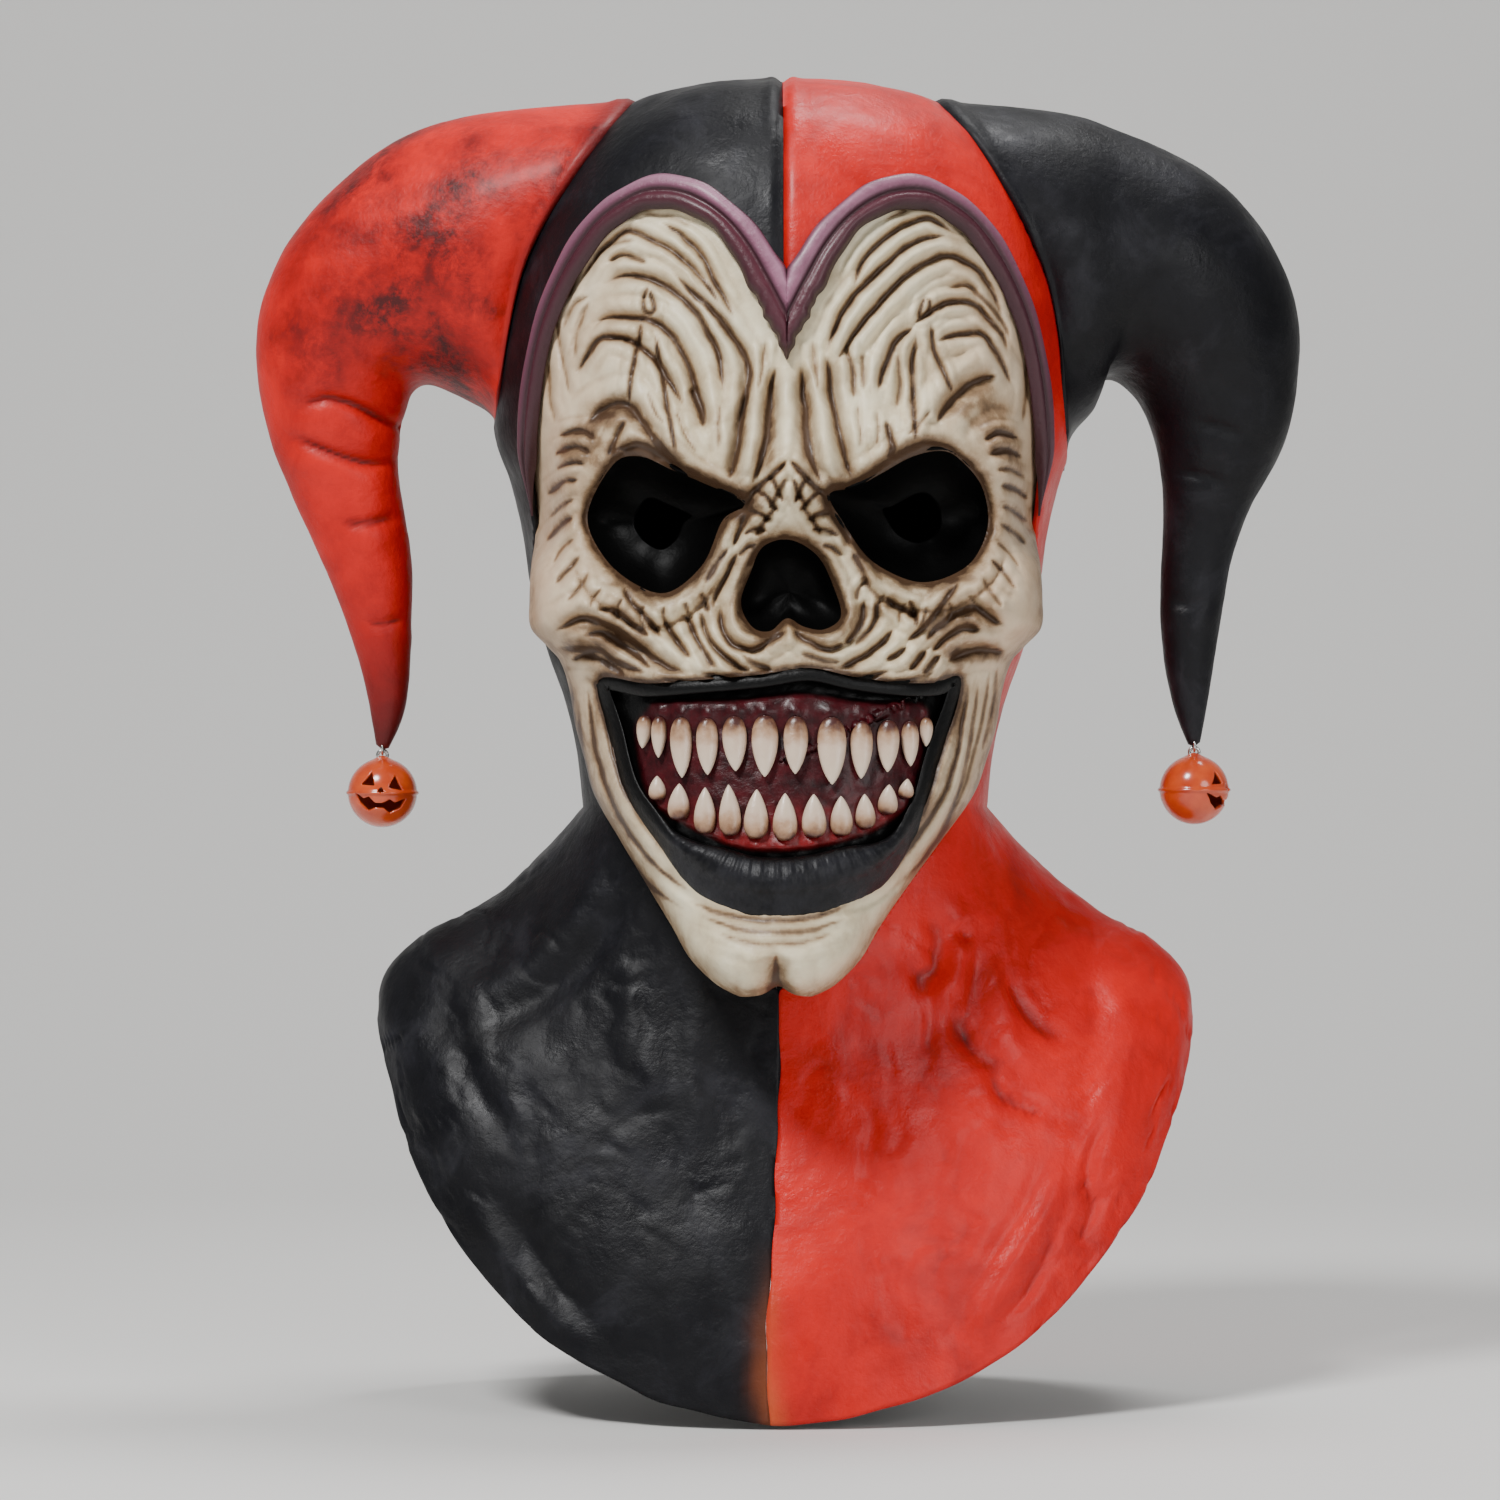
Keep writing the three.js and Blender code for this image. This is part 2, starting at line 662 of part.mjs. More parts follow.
// Region outside a horn's seam, as a prism that reaches past the horn
function hornRegion(rows, side, clearance) {
  const far = side * (horn_reach + horn_base);
  const clear = side * (head_half + horn_clear);
  const low = -horn_drop - horn_floor_extra;
  const high = head_half;
  const seam = hornSeam(rows, side).map(([x, z]) => [x + side * clearance, z + clearance * seam_lift]);
  const top = seam[0];
  const bottom = seam[seam.length - 1];
  const outline = [
    [top[0] - side * seam_past_top, high],
    ...seam,
    [clear + side * clearance, bottom[1] - seam_past_bottom],
    [clear + side * clearance, low],
    [far, low],
    [far, high],
  ];
  return prism(outline, -head_back, head_back);
}

// Ring on the hood along a horn's seam, front half first
function hornBase(seam_rows, side) {
  const half_count = points_round_horn / 2;
  const places = seam_rows.map((row, i) => ({ order: i, ...row }));
  const base = [];
  for (let j = 0; j < points_round_horn; j++) {
    const angle = j / points_round_horn * 2 * Math.PI;
    const order = (1 - Math.cos(angle)) / 2 * (seam_rows.length - 1);
    const x = side * valueAt(places, 'order', order, 'out') * head_half;
    const z = -valueAt(places, 'order', order, 'down') * head_drop;
    const y = j < half_count ? hoodFront(x, z) : hoodBack(x, z);
    base.push(new THREE.Vector3(x, j % half_count === 0 ? 0 : y, z));
  }
  return base;
}

// Middle of one section of a horn, in the front view
function hornCentre(seam_rows, row, side) {
  const start = middle(hornBase(seam_rows, side));
  return [mix(start.x, side * horn_reach, row.out), mix(start.z, -horn_drop, row.down)];
}

// Horn: rings from the seam on the hood to the tip
function hornRings(seam_rows, horn_rows, side) {
  const base = hornBase(seam_rows, side);
  const first = middle(base);
  const centres = horn_rows.map((row) => hornCentre(seam_rows, row, side));
  const rings = horn_rows.map((row, i) => {
    const before = i === 0 ? [first.x, first.z] : centres[i - 1];
    const after = centres[Math.min(i + 1, centres.length - 1)];
    const length = Math.hypot(after[0] - before[0], after[1] - before[1]);
    const ahead = [(after[0] - before[0]) / length, (after[1] - before[1]) / length];
    const outward = [-side * ahead[1], side * ahead[0]];
    const radius = row.thick * horn_base / 2;
    return base.map((_, j) => {
      const angle = j / points_round_horn * 2 * Math.PI;
      return new THREE.Vector3(
        centres[i][0] + outward[0] * radius * Math.cos(angle),
        -radius * horn_flat * Math.sin(angle),
        centres[i][1] + outward[1] * radius * Math.cos(angle),
      );
    });
  });
  const inward = base.map((point, j) => {
    const step = new THREE.Vector3().subVectors(point, rings[0][j]).setLength(2 * wall);
    return point.clone().add(step);
  });
  return [inward, base, ...rings];
}

function horn(seam_rows, horn_rows, side) {
  const rings = hornRings(seam_rows, horn_rows, side);
  const hollow = rings.filter((_, i) => i < 2 || horn_rows[i - 2].down < horn_hollow_end);
  const moved = movedRings(hollow, side * horn_wall);
  const shell = loft([...moved.reverse(), ...rings]);
  return shell.intersect(hornRegion(seam_rows, side, gap));
}

function tipOf(seam_rows, horn_rows, side) {
  const [x, z] = hornCentre(seam_rows, horn_rows[horn_rows.length - 1], side);
  return new THREE.Vector3(x, 0, z);
}

// Trim: a double ridge that wraps the window's edge
function trimSolid() {
  const rows = [...trim_rows.slice(1).reverse().map((row) => ({ ...row, out: -row.out })), ...trim_rows];
  const places = rows.map((row) => {
    const [x, z] = atShares(row);
    return new THREE.Vector3(x, hoodFront(x, z), z);
  });
  const foot = -wall / 2;
  const section = [
    [1.0, 3 * gap],
    [0.8, trim_rise * 0.8],
    [0.45, trim_rise],
    [0.1, trim_rise * 0.45],
    [-0.35, trim_rise * 0.8],
    [-0.75, trim_rise * 0.7],
    [-1.0, -gap],
    [-0.9, foot],
    [-0.2, foot],
    [-0.2, 3 * gap],
  ];
  const rings = rows.map((row, i) => {
    const before = places[Math.max(i - 1, 0)];
    const after = places[Math.min(i + 1, rows.length - 1)];
    const ahead = new THREE.Vector3().subVectors(after, before).normalize();
    const place = places[i];
    const outward = hoodNormal(place.x, place.z);
    const aside = new THREE.Vector3().crossVectors(outward, ahead).normalize();
    const half = trim_half * row.wide;
    return section.map(([across, up]) => {
      return place.clone().addScaledVector(aside, across * half).addScaledVector(outward, up);
    });
  });
  return loft(rings);
}

// Bowl set into a hole of the face, open at its middle or closed
function dish(outline, depth, hole) {
  const rim = grown(outline, -gap);
  const cx = rim.reduce((sum, [x]) => sum + x, 0) / rim.length;
  const cz = rim.reduce((sum, [, z]) => sum + z, 0) / rim.length;
  const mean = rim.reduce((sum, [x, z]) => sum + faceFront(x, z), 0) / rim.length;
  const steps = [
    { share: 1, deep: 0.05 },
    { share: 0.8, deep: 0.7 },
    { share: 0.45, deep: 1 },
  ];
  if (hole) {
    steps.push({ share: hole, deep: 1.03 });
  }
  const ring = (step, back) => rim.map(([x, z]) => new THREE.Vector3(
    mix(cx, x, step.share),
    mix(mean, faceFront(x, z), step.share) + step.deep * depth + back,
    mix(cz, z, step.share),
  ));
  const front = steps.map((step) => ring(step, 0));
  const rear = steps.map((step) => ring(step, dish_wall)).reverse();
  if (hole) {
    return loft([...front, ...rear], { loop: true });
  }
  return loft([...front.reverse(), ...rear.reverse()]);
}

function lipWidth(z) {
  const down = -z / head_drop;
  return mix(mix(upper_lip, side_lip, smooth(down, 0.668, 0.7)), lower_lip, smooth(down, 0.828, 0.885));
}

function lipsSolid(outline) {
  const edge = grown(outline, -gap);
  const crest = outline.map((point, i) => grown(outline, -gap - 0.45 * lipWidth(point[1]))[i]);
  const inner = outline.map((point, i) => grown(outline, -gap - lipWidth(point[1]))[i]);
  const at = ([x, z], [fx, fz], up) => new THREE.Vector3(x, faceFront(fx, fz) - up, z);
  const rings = outline.map((point, i) => [
    at(edge[i], point, -lip_back),
    at(edge[i], point, 0.45 * lip_rise),
    at(crest[i], crest[i], lip_rise),
    at(inner[i], inner[i], 0),
    at(inner[i], inner[i], -lip_back),
  ]);
  return loft(rings, { loop: true });
}

// Depth of the gum plate's front, raised where the teeth are rooted
function gumFront(x, z) {
  const down = -z / head_drop;
  const upper = Math.exp(-(((down - upper_gum.down) / upper_gum.tall) ** 2));
  const lower = Math.exp(-(((down - lower_gum.down) / lower_gum.tall) ** 2));
  return faceFront(x, z) + lip_back + 4 * gap + gum_rise - gum_rise * Math.max(upper, lower);
}

function gumsSolid(outline) {
  const inner = outline.map((point, i) => grown(outline, -gap - 0.6 * lipWidth(point[1]))[i]);
  const cx = inner.reduce((sum, [x]) => sum + x, 0) / inner.length;
  const cz = inner.reduce((sum, [, z]) => sum + z, 0) / inner.length;
  const shares = [0.35, 0.65, 0.87, 1];
  const ring = (share, back) => inner.map(([px, pz]) => {
    const x = mix(cx, px, share);
    const z = mix(cz, pz, share);
    return new THREE.Vector3(x, gumFront(x, z) + back, z);
  });
  const front = shares.map((share) => ring(share, 0));
  const rear = shares.map((share) => ring(share, gum_wall)).reverse();
  return loft([...front, ...rear], {
    start: new THREE.Vector3(cx, gumFront(cx, cz), cz),
    end: new THREE.Vector3(cx, gumFront(cx, cz) + gum_wall, cz),
  });
}

// Pointed tooth with its flat side to the gum plate
function tooth(row) {
  const x = row.out * head_half;
  const steps = [
    { along: 0, half: 1, thick: 0.9 },
    { along: 0.55, half: 0.75, thick: 0.8 },
    { along: 1, half: 0.14, thick: 0.25 },
  ];
  const sides = 6;
  const rings = steps.map((step) => {
    const z = -mix(row.root, row.tip, step.along) * head_drop;
    const half = step.half * row.wide * tooth_half;
    const seat = Math.min(gumFront(x + 0.7 * half, z), gumFront(x - 0.7 * half, z)) - gap;
    const ring = [];
    for (let j = 0; j < sides; j++) {
      const angle = j / sides * 2 * Math.PI;
      const across = Math.cos(angle) * half;
      const depth = (1 + Math.sin(angle)) / 2 * step.thick * tooth_thick;
      ring.push(new THREE.Vector3(x + across, seat - depth, z));
    }
    return ring;
  });
  return loft(rings);
}

// Ring of wire, lying across X or along it
function wireRing(radius, wire, across) {
  const geometry = new THREE.TorusGeometry(radius, wire, 5, 8);
  geometry.rotateX(Math.PI / 2);
  if (across) {
    geometry.rotateZ(Math.PI / 2);
  }
  return solidOf(geometry);
}

// Hollow bell about its own middle, with a pumpkin face cut through its front and turned aside
function bell(turn) {
  const ball = solidOf(new THREE.SphereGeometry(bell_radius, points_round_bell, 8).rotateX(Math.PI / 2));
  const seam_radius = bell_radius + bell_seam_rise;
  const seam = solidOf(new THREE.CylinderGeometry(seam_radius, seam_radius, bell_seam_height, points_round_bell)
    .rotateX(Math.PI / 2));
  const hollow = solidOf(new THREE.SphereGeometry(bell_radius - bell_wall, points_round_bell, 8).rotateX(Math.PI / 2));
  const loop = wireRing(loop_radius, loop_wire, false).translate([0, 0, bell_radius + loop_radius - loop_sunk]);
  const cuts = [
    [[-0.55, 0.2], [-0.2, 0.25], [-0.3, 0.6]],
    [[0.55, 0.2], [0.2, 0.25], [0.3, 0.6]],
    [[0, -0.02], [0.1, 0.1], [0, 0.22], [-0.1, 0.1]],
    [[-0.7, -0.08], [-0.42, -0.24], [-0.3, -0.14], [-0.1, -0.3], [0.1, -0.3], [0.3, -0.14], [0.42, -0.24],
      [0.7, -0.08], [0.55, -0.4], [0.25, -0.55], [0.12, -0.44], [-0.12, -0.44], [-0.25, -0.55], [-0.55, -0.4]],
  ];
  let solid = ball.add(seam).subtract(hollow).add(loop);
  for (const cut of cuts) {
    const outline = cut.map(([x, z]) => [x * bell_radius, z * bell_radius]);
    solid = solid.subtract(prism(outline, -2 * bell_radius, -bell_radius * bell_face_from).rotate([0, 0, turn]));
  }
  return solid;
}

const black = { color: 0x1b1a20, roughness: 0.45, metalness: 0 };
const red = { color: 0xd23a30, roughness: 0.45, metalness: 0 };
const bone = { color: 0xd9cfae, roughness: 0.6, metalness: 0 };
const purple = { color: 0x8a5570, roughness: 0.5, metalness: 0 };
const gloss_black = { color: 0x0b0b0d, roughness: 0.15, metalness: 0 };
const maroon = { color: 0x6e2026, roughness: 0.35, metalness: 0 };
const ivory = { color: 0xe2d6bd, roughness: 0.35, metalness: 0 };
const orange = { color: 0xd65a33, roughness: 0.3, metalness: 0 };
const steel = { color: 0xb9b7b2, roughness: 0.3, metalness: 1 };

// Hood and bib, cut for the face and the horns, in two colours
const hood = hoodShell(0, -wall)
  .subtract(prism(faceWindow(gap), -2 * head_front, face_back + 2 * gap))
  .subtract(hornRegion(red_seam_rows, -1, 0))
  .subtract(hornRegion(black_seam_rows, 1, 0));
const far = 2 * bib_half;
const hood_parts = [
  { name: 'hood_black', side: -1, top: far, bottom: neck_split + gap / 2, look: black },
  { name: 'hood_red', side: 1, top: far, bottom: neck_split + gap / 2, look: red },
  { name: 'bib_black', side: -1, top: neck_split - gap / 2, bottom: -4 * bib_half, look: black },
  { name: 'bib_red', side: 1, top: neck_split - gap / 2, bottom: -4 * bib_half, look: red },
];
for (const { name, side, top, bottom, look } of hood_parts) {
  const near = colour_split + side * gap / 2;
  const outline = [[near, top], [side * far, top], [side * far, bottom], [near, bottom]];
  addPiece(name, hood.intersect(prism(outline, -far, far)), look);
}

// Horns, each with its bell on a ring through the tip
const horns = [
  { name: 'horn_red', bell: 'left', seam: red_seam_rows, rows: red_horn_rows, side: -1, look: red, turn: 0 },
  { name: 'horn_black', bell: 'right', seam: black_seam_rows, rows: black_horn_rows, side: 1, look: black, turn: 65 },
];
for (const each of horns) {
  const tip = tipOf(each.seam, each.rows, each.side);
  const bell_top = tip.z - bell_below_tip + bell_radius + loop_radius - loop_sunk;
  const ring_z = bell_top + loop_radius - loop_wire - ring_wire - ring_play + ring_radius;
  const hole = wireRing(ring_radius, ring_wire + gap, true).translate([tip.x, 0, ring_z]);
  addPiece(each.name, horn(each.seam, each.rows, each.side).subtract(hole), each.look);
  addPiece(`bell_ring_${each.bell}`, wireRing(ring_radius, ring_wire, true), steel,
    new THREE.Vector3(tip.x, 0, ring_z));
  addPiece(`bell_${each.bell}`, bell(each.turn), orange, new THREE.Vector3(tip.x, 0, tip.z - bell_below_tip));
}

// Face skin with its openings
const left_eye = smoothOutline(left_eye_rows, points_round_eye);
const right_eye = smoothOutline(right_eye_rows, points_round_eye);
const nose = smoothOutline(nose_rows, points_round_eye);
const mouth = smoothOutline(mouth_rows, points_round_mouth);
let face = faceSolid(0, face_back).subtract(faceSolid(wall, head_back));
for (const outline of [left_eye, right_eye, nose, mouth]) {
  face = face.subtract(prism(outline, -2 * face_reach, 0));
}
face = face.subtract(hoodCore(-3.5 * wall));
addPiece('skull_face', face, bone);
addPiece('face_trim', trimSolid(), purple);
addPiece('eye_socket_left', dish(left_eye, socket_depth, eye_hole_share), gloss_black);
addPiece('eye_socket_right', dish(right_eye, socket_depth, eye_hole_share), gloss_black);
addPiece('nose_pit', dish(nose, nose_depth, 0), gloss_black);
addPiece('lips', lipsSolid(mouth), gloss_black);
addPiece('gums', gumsSolid(mouth), maroon);
upper_teeth.forEach((row, i) => addPiece(`upper_tooth_${i + 1}`, tooth(row), ivory));
lower_teeth.forEach((row, i) => addPiece(`lower_tooth_${i + 1}`, tooth(row), ivory));

export default mask;
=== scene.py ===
"""Full-head latex jester mask with a skull face, drooping horns and pumpkin bells."""
import math

import bmesh
import bpy
import numpy as np
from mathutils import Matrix, Vector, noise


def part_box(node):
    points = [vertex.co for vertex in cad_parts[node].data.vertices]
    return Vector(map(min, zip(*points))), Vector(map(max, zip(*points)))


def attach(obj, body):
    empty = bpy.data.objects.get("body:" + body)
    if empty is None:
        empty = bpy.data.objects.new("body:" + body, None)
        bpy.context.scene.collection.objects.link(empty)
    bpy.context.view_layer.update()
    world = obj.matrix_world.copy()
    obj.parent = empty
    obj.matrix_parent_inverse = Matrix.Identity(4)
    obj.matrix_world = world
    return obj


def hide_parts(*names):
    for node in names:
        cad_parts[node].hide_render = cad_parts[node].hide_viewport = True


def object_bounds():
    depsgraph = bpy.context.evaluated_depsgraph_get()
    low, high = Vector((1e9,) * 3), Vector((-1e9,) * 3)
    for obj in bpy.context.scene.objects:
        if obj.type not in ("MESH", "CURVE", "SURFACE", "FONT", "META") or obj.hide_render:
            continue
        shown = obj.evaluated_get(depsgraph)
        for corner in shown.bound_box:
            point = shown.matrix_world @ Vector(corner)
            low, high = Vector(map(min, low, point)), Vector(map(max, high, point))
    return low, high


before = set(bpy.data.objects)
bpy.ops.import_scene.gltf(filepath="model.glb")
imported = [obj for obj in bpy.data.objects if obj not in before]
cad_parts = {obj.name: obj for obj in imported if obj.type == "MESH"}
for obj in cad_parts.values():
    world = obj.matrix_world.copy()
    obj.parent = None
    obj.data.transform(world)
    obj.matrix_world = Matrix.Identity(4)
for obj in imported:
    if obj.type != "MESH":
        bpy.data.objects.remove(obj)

cad_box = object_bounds()
MM = 0.001

# Driving sizes in millimetres, the same as the solids'
HEAD_HALF = 98
HEAD_DROP = 300
HEAD_FRONT = 99
HEAD_BACK = 115
WALL = 2
POWER = 2.2
BIB_HALF = 136
BIB_FRONT = 95
BIB_BACK = 92
SHOULDER_DROP = 310
HEM_FRONT_EXTRA = 126
HEM_BACK_EXTRA = 90
HEM_ROUND = 0.15
FACE_REACH = 124
FACE_POWER = 2.1
FACE_BACK = -8
CHIN_LEAN = 3.5
HORN_REACH = 174
HORN_DROP = 222
HORN_BASE = 119
HORN_FLAT = 0.95
HORN_WALL = 1.8
UPPER_LIP = 4
SIDE_LIP = 4.4
LOWER_LIP = 12

# Head sections from the crown to the neck: down, half width, depth to the front and back
HOOD_ROWS = [
    (0.0, 0.33, 0.36, 0.36),
    (0.015, 0.5, 0.55, 0.53),
    (0.035, 0.6, 0.67, 0.65),
    (0.06, 0.7, 0.77, 0.73),
    (0.1, 0.8, 0.86, 0.82),
    (0.15, 0.888, 0.925, 0.89),
    (0.21, 0.95, 0.97, 0.945),
    (0.285, 0.99, 1.0, 0.98),
    (0.35, 1.0, 1.0, 1.0),
    (0.395, 0.985, 0.99, 1.0),
    (0.435, 0.94, 0.98, 0.99),
    (0.495, 0.895, 0.955, 0.97),
    (0.55, 0.87, 0.91, 0.93),
    (0.617, 0.82, 0.85, 0.89),
    (0.683, 0.75, 0.76, 0.83),
    (0.74, 0.71, 0.69, 0.76),
    (0.8, 0.69, 0.645, 0.7),
]

# Bib from the neck to the hem: drop, way out at the side and at the front
BIB_ROWS = [
    (0.0, 0.0, 0.0),
    (0.2, 0.18, 0.03),
    (0.38, 0.37, 0.12),
    (0.51, 0.56, 0.3),
    (0.62, 0.78, 0.5),
    (0.8, 0.96, 0.82),
    (1.0, 1.0, 1.0),
]

# Face skin: down, half width, depth at the side and front, own form, hidden tuck
FACE_ROWS = [
    (0.115, 0.36, 0.5, 0.7, 0, 1),
    (0.135, 0.6, 0.48, 0.74, 0, 1),
    (0.165, 0.72, 0.45, 0.77, 0, 1),
    (0.21, 0.81, 0.42, 0.78, 0, 1),
    (0.27, 0.87, 0.38, 0.79, 0, 1),
    (0.34, 0.9, 0.36, 0.81, 0.2, 1),
    (0.4, 0.905, 0.33, 0.83, 0.8, 1),
    (0.44, 0.885, 0.31, 0.85, 1, 1),
    (0.47, 0.855, 0.3, 0.85, 1, 1),
    (0.49, 0.843, 0.32, 0.845, 1, 0.8),
    (0.51, 0.842, 0.35, 0.84, 1, 0.3),
    (0.535, 0.848, 0.4, 0.83, 1, 0),
    (0.575, 0.852, 0.46, 0.82, 1, 0),
    (0.605, 0.845, 0.49, 0.83, 1, 0),
    (0.625, 0.79, 0.48, 0.845, 1, 0),
    (0.64, 0.75, 0.47, 0.865, 1, 0),
    (0.67, 0.72, 0.45, 0.89, 1, 0),
    (0.71, 0.7, 0.44, 0.91, 1, 0),
    (0.745, 0.67, 0.44, 0.93, 1, 0),
    (0.785, 0.63, 0.45, 0.95, 1, 0),
    (0.835, 0.53, 0.5, 0.97, 1, 0),
    (0.885, 0.425, 0.57, 0.985, 1, 0),
    (0.925, 0.342, 0.66, 1.0, 1, 0),
    (0.96, 0.275, 0.75, 0.995, 1, 0),
    (0.983, 0.195, 0.82, 0.96, 1, 0),
    (0.993, 0.12, 0.86, 0.93, 1, 0),
]

# Swellings and hollows of the face: out, down, wide, tall, rise, on both sides
FACE_FORMS = [
    (0.36, 0.395, 0.26, 0.03, 0.05, True),
    (0.09, 0.42, 0.1, 0.05, 0.04, True),
    (0.0, 0.45, 0.14, 0.06, 0.06, False),
    (0.4, 0.5, 0.26, 0.06, -0.04, True),
    (0.66, 0.575, 0.16, 0.035, 0.07, True),
    (0.12, 0.62, 0.12, 0.02, 0.03, True),
    (0.58, 0.7, 0.12, 0.06, -0.05, True),
    (0.0, 0.94, 0.18, 0.025, 0.03, False),
]

LEFT_EYE = [
    (-0.136, 0.476), (-0.207, 0.492), (-0.272, 0.539), (-0.387, 0.569), (-0.498, 0.559), (-0.6, 0.529),
    (-0.653, 0.484), (-0.567, 0.432), (-0.48, 0.424), (-0.373, 0.439), (-0.272, 0.453),
]
RIGHT_EYE = [
    (0.137, 0.466), (0.183, 0.495), (0.258, 0.53), (0.353, 0.55), (0.445, 0.558), (0.54, 0.55),
    (0.617, 0.531), (0.663, 0.494), (0.643, 0.456), (0.579, 0.43), (0.513, 0.418), (0.415, 0.424),
    (0.313, 0.442), (0.222, 0.458),
]
NOSE = [
    (0.01, 0.514), (-0.077, 0.521), (-0.116, 0.547), (-0.149, 0.58), (-0.113, 0.606), (-0.055, 0.611),
    (0.0, 0.597), (0.055, 0.606), (0.12, 0.609), (0.176, 0.595), (0.153, 0.564), (0.101, 0.531),
]
MOUTH = [
    (-0.616, 0.662), (-0.451, 0.666), (-0.258, 0.662), (-0.087, 0.657), (0.071, 0.65), (0.213, 0.659),
    (0.357, 0.665), (0.483, 0.665), (0.566, 0.658), (0.556, 0.692), (0.493, 0.748), (0.446, 0.798),
    (0.336, 0.853), (0.213, 0.878), (0.025, 0.891), (-0.164, 0.887), (-0.307, 0.862), (-0.45, 0.813),
    (-0.529, 0.776), (-0.576, 0.723),
]

# Teeth: out, root, tip, width
UPPER_TEETH = [
    (-0.463, 0.7, 0.735, 0.7), (-0.415, 0.701, 0.745, 0.7), (-0.343, 0.702, 0.766, 1.0),
    (-0.258, 0.703, 0.763, 1.0), (-0.17, 0.701, 0.759, 1.1), (-0.071, 0.7, 0.765, 1.2),
    (0.029, 0.701, 0.762, 1.1), (0.145, 0.702, 0.773, 1.3), (0.242, 0.706, 0.767, 1.0),
    (0.329, 0.705, 0.76, 1.0), (0.4, 0.706, 0.754, 0.8), (0.455, 0.702, 0.733, 0.6),
]
LOWER_TEETH = [
    (-0.42, 0.79, 0.764, 0.8), (-0.35, 0.811, 0.772, 1.0), (-0.265, 0.825, 0.776, 1.0),
    (-0.183, 0.827, 0.773, 1.0), (-0.1, 0.83, 0.778, 1.1), (-0.007, 0.832, 0.782, 1.1),
    (0.087, 0.829, 0.783, 1.1), (0.176, 0.827, 0.785, 1.0), (0.254, 0.82, 0.783, 0.9),
    (0.326, 0.805, 0.773, 0.9), (0.386, 0.788, 0.767, 0.7),
]

# Path of the trim on one side, from the widow's peak: out, down, width
TRIM_ROWS = [
    (0.0, 0.275, 1.5), (0.06, 0.237, 1.15), (0.13, 0.197, 1.05), (0.215, 0.165, 1.0), (0.325, 0.143, 1.0),
    (0.44, 0.138, 1.0), (0.535, 0.15, 1.0), (0.625, 0.172, 0.95), (0.71, 0.21, 0.9), (0.78, 0.257, 0.85),
    (0.82, 0.3, 0.8), (0.85, 0.355, 0.75), (0.862, 0.415, 0.65), (0.85, 0.48, 0.4),
]

RED_SEAM = [
    (0.496, 0.015), (0.582, 0.057), (0.7, 0.112), (0.8, 0.163), (0.877, 0.217), (0.925, 0.28),
    (0.957, 0.34), (0.99, 0.383),
]
BLACK_SEAM = [
    (0.496, 0.015), (0.557, 0.042), (0.636, 0.076), (0.75, 0.14), (0.826, 0.19), (0.878, 0.23),
    (0.91, 0.285), (0.925, 0.345), (0.955, 0.425),
]

# Horn sections from base to tip, between the seam's middle and the horn's reach: out, down, thickness
RED_HORN = [
    (0.284, 0.0, 0.84), (0.555, 0.041, 0.664), (0.737, 0.142, 0.521), (0.775, 0.258, 0.42),
    (0.767, 0.319, 0.386), (0.748, 0.406, 0.332), (0.699, 0.506, 0.282), (0.66, 0.574, 0.26),
    (0.626, 0.657, 0.214), (0.596, 0.76, 0.163), (0.578, 0.864, 0.12), (0.581, 0.952, 0.075),
    (0.597, 0.986, 0.035),
]
BLACK_HORN = [
    (0.241, 0.01, 0.88), (0.353, 0.008, 0.77), (0.47, 0.018, 0.714), (0.601, 0.082, 0.613),
    (0.682, 0.162, 0.555), (0.706, 0.252, 0.454), (0.713, 0.323, 0.395), (0.699, 0.405, 0.324),
    (0.675, 0.465, 0.266), (0.655, 0.538, 0.227), (0.627, 0.635, 0.195), (0.612, 0.763, 0.158),
    (0.612, 0.864, 0.118), (0.619, 0.943, 0.07), (0.629, 0.98, 0.035),
]

# Photograph: millimetres a pixel in the plane of the camera's aim, its middle, and the camera's distance
PIXEL_MM = 0.335
PHOTO_MIDDLE = 750
AIM_X = -11.7
AIM_Z = -221
CAMERA_AWAY = 2000


# Helpers

def column(rows, place, index):
    """Smooth value of a table's column at places along its first column."""
    table = np.array(rows, float)
    keys = table[:, 0]
    values = table[:, index]
    place = np.asarray(place, float)
    last = len(keys) - 1
    b = np.clip(np.searchsorted(keys, place), 1, last)
    a = b - 1
    before = np.maximum(b - 2, 0)
    after = np.minimum(b + 1, last)
    span = keys[b] - keys[a]
    t = np.clip((place - keys[a]) / span, 0, 1)
    leave = (values[b] - values[before]) / (keys[b] - keys[before]) * span
    arrive = (values[after] - values[a]) / (keys[after] - keys[a]) * span
    return (values[a] * (2 * t**3 - 3 * t**2 + 1) + leave * (t**3 - 2 * t**2 + t)
            + values[b] * (3 * t**2 - 2 * t**3) + arrive * (t**3 - t**2))


def smooth(value, start, end):
    t = np.clip((np.asarray(value, float) - start) / (end - start), 0, 1)
    return t * t * (3 - 2 * t)


def mix(a, b, share):
    return a + (b - a) * share


def bend(value, power):
    return np.sign(value) * np.abs(value) ** power


def bump(value, width):
    return np.exp(-(value / width) ** 2)


def closed_curve(points, count):
    """Evenly spaced points of a smooth closed curve through the given ones."""
    base = np.array(points, float)
    many = []
    size = len(base)
    for i in range(size):
        p0, p1, p2, p3 = (base[(i + k) % size] for k in (-1, 0, 1, 2))
        for t in np.linspace(0, 1, 24, endpoint=False):
            many.append(0.5 * (2 * p1 + (p2 - p0) * t + (2 * p0 - 5 * p1 + 4 * p2 - p3) * t * t
                               + (3 * p1 - p0 - 3 * p2 + p3) * t**3))
    return spaced(np.array(many + many[:1]), count + 1)[:-1]


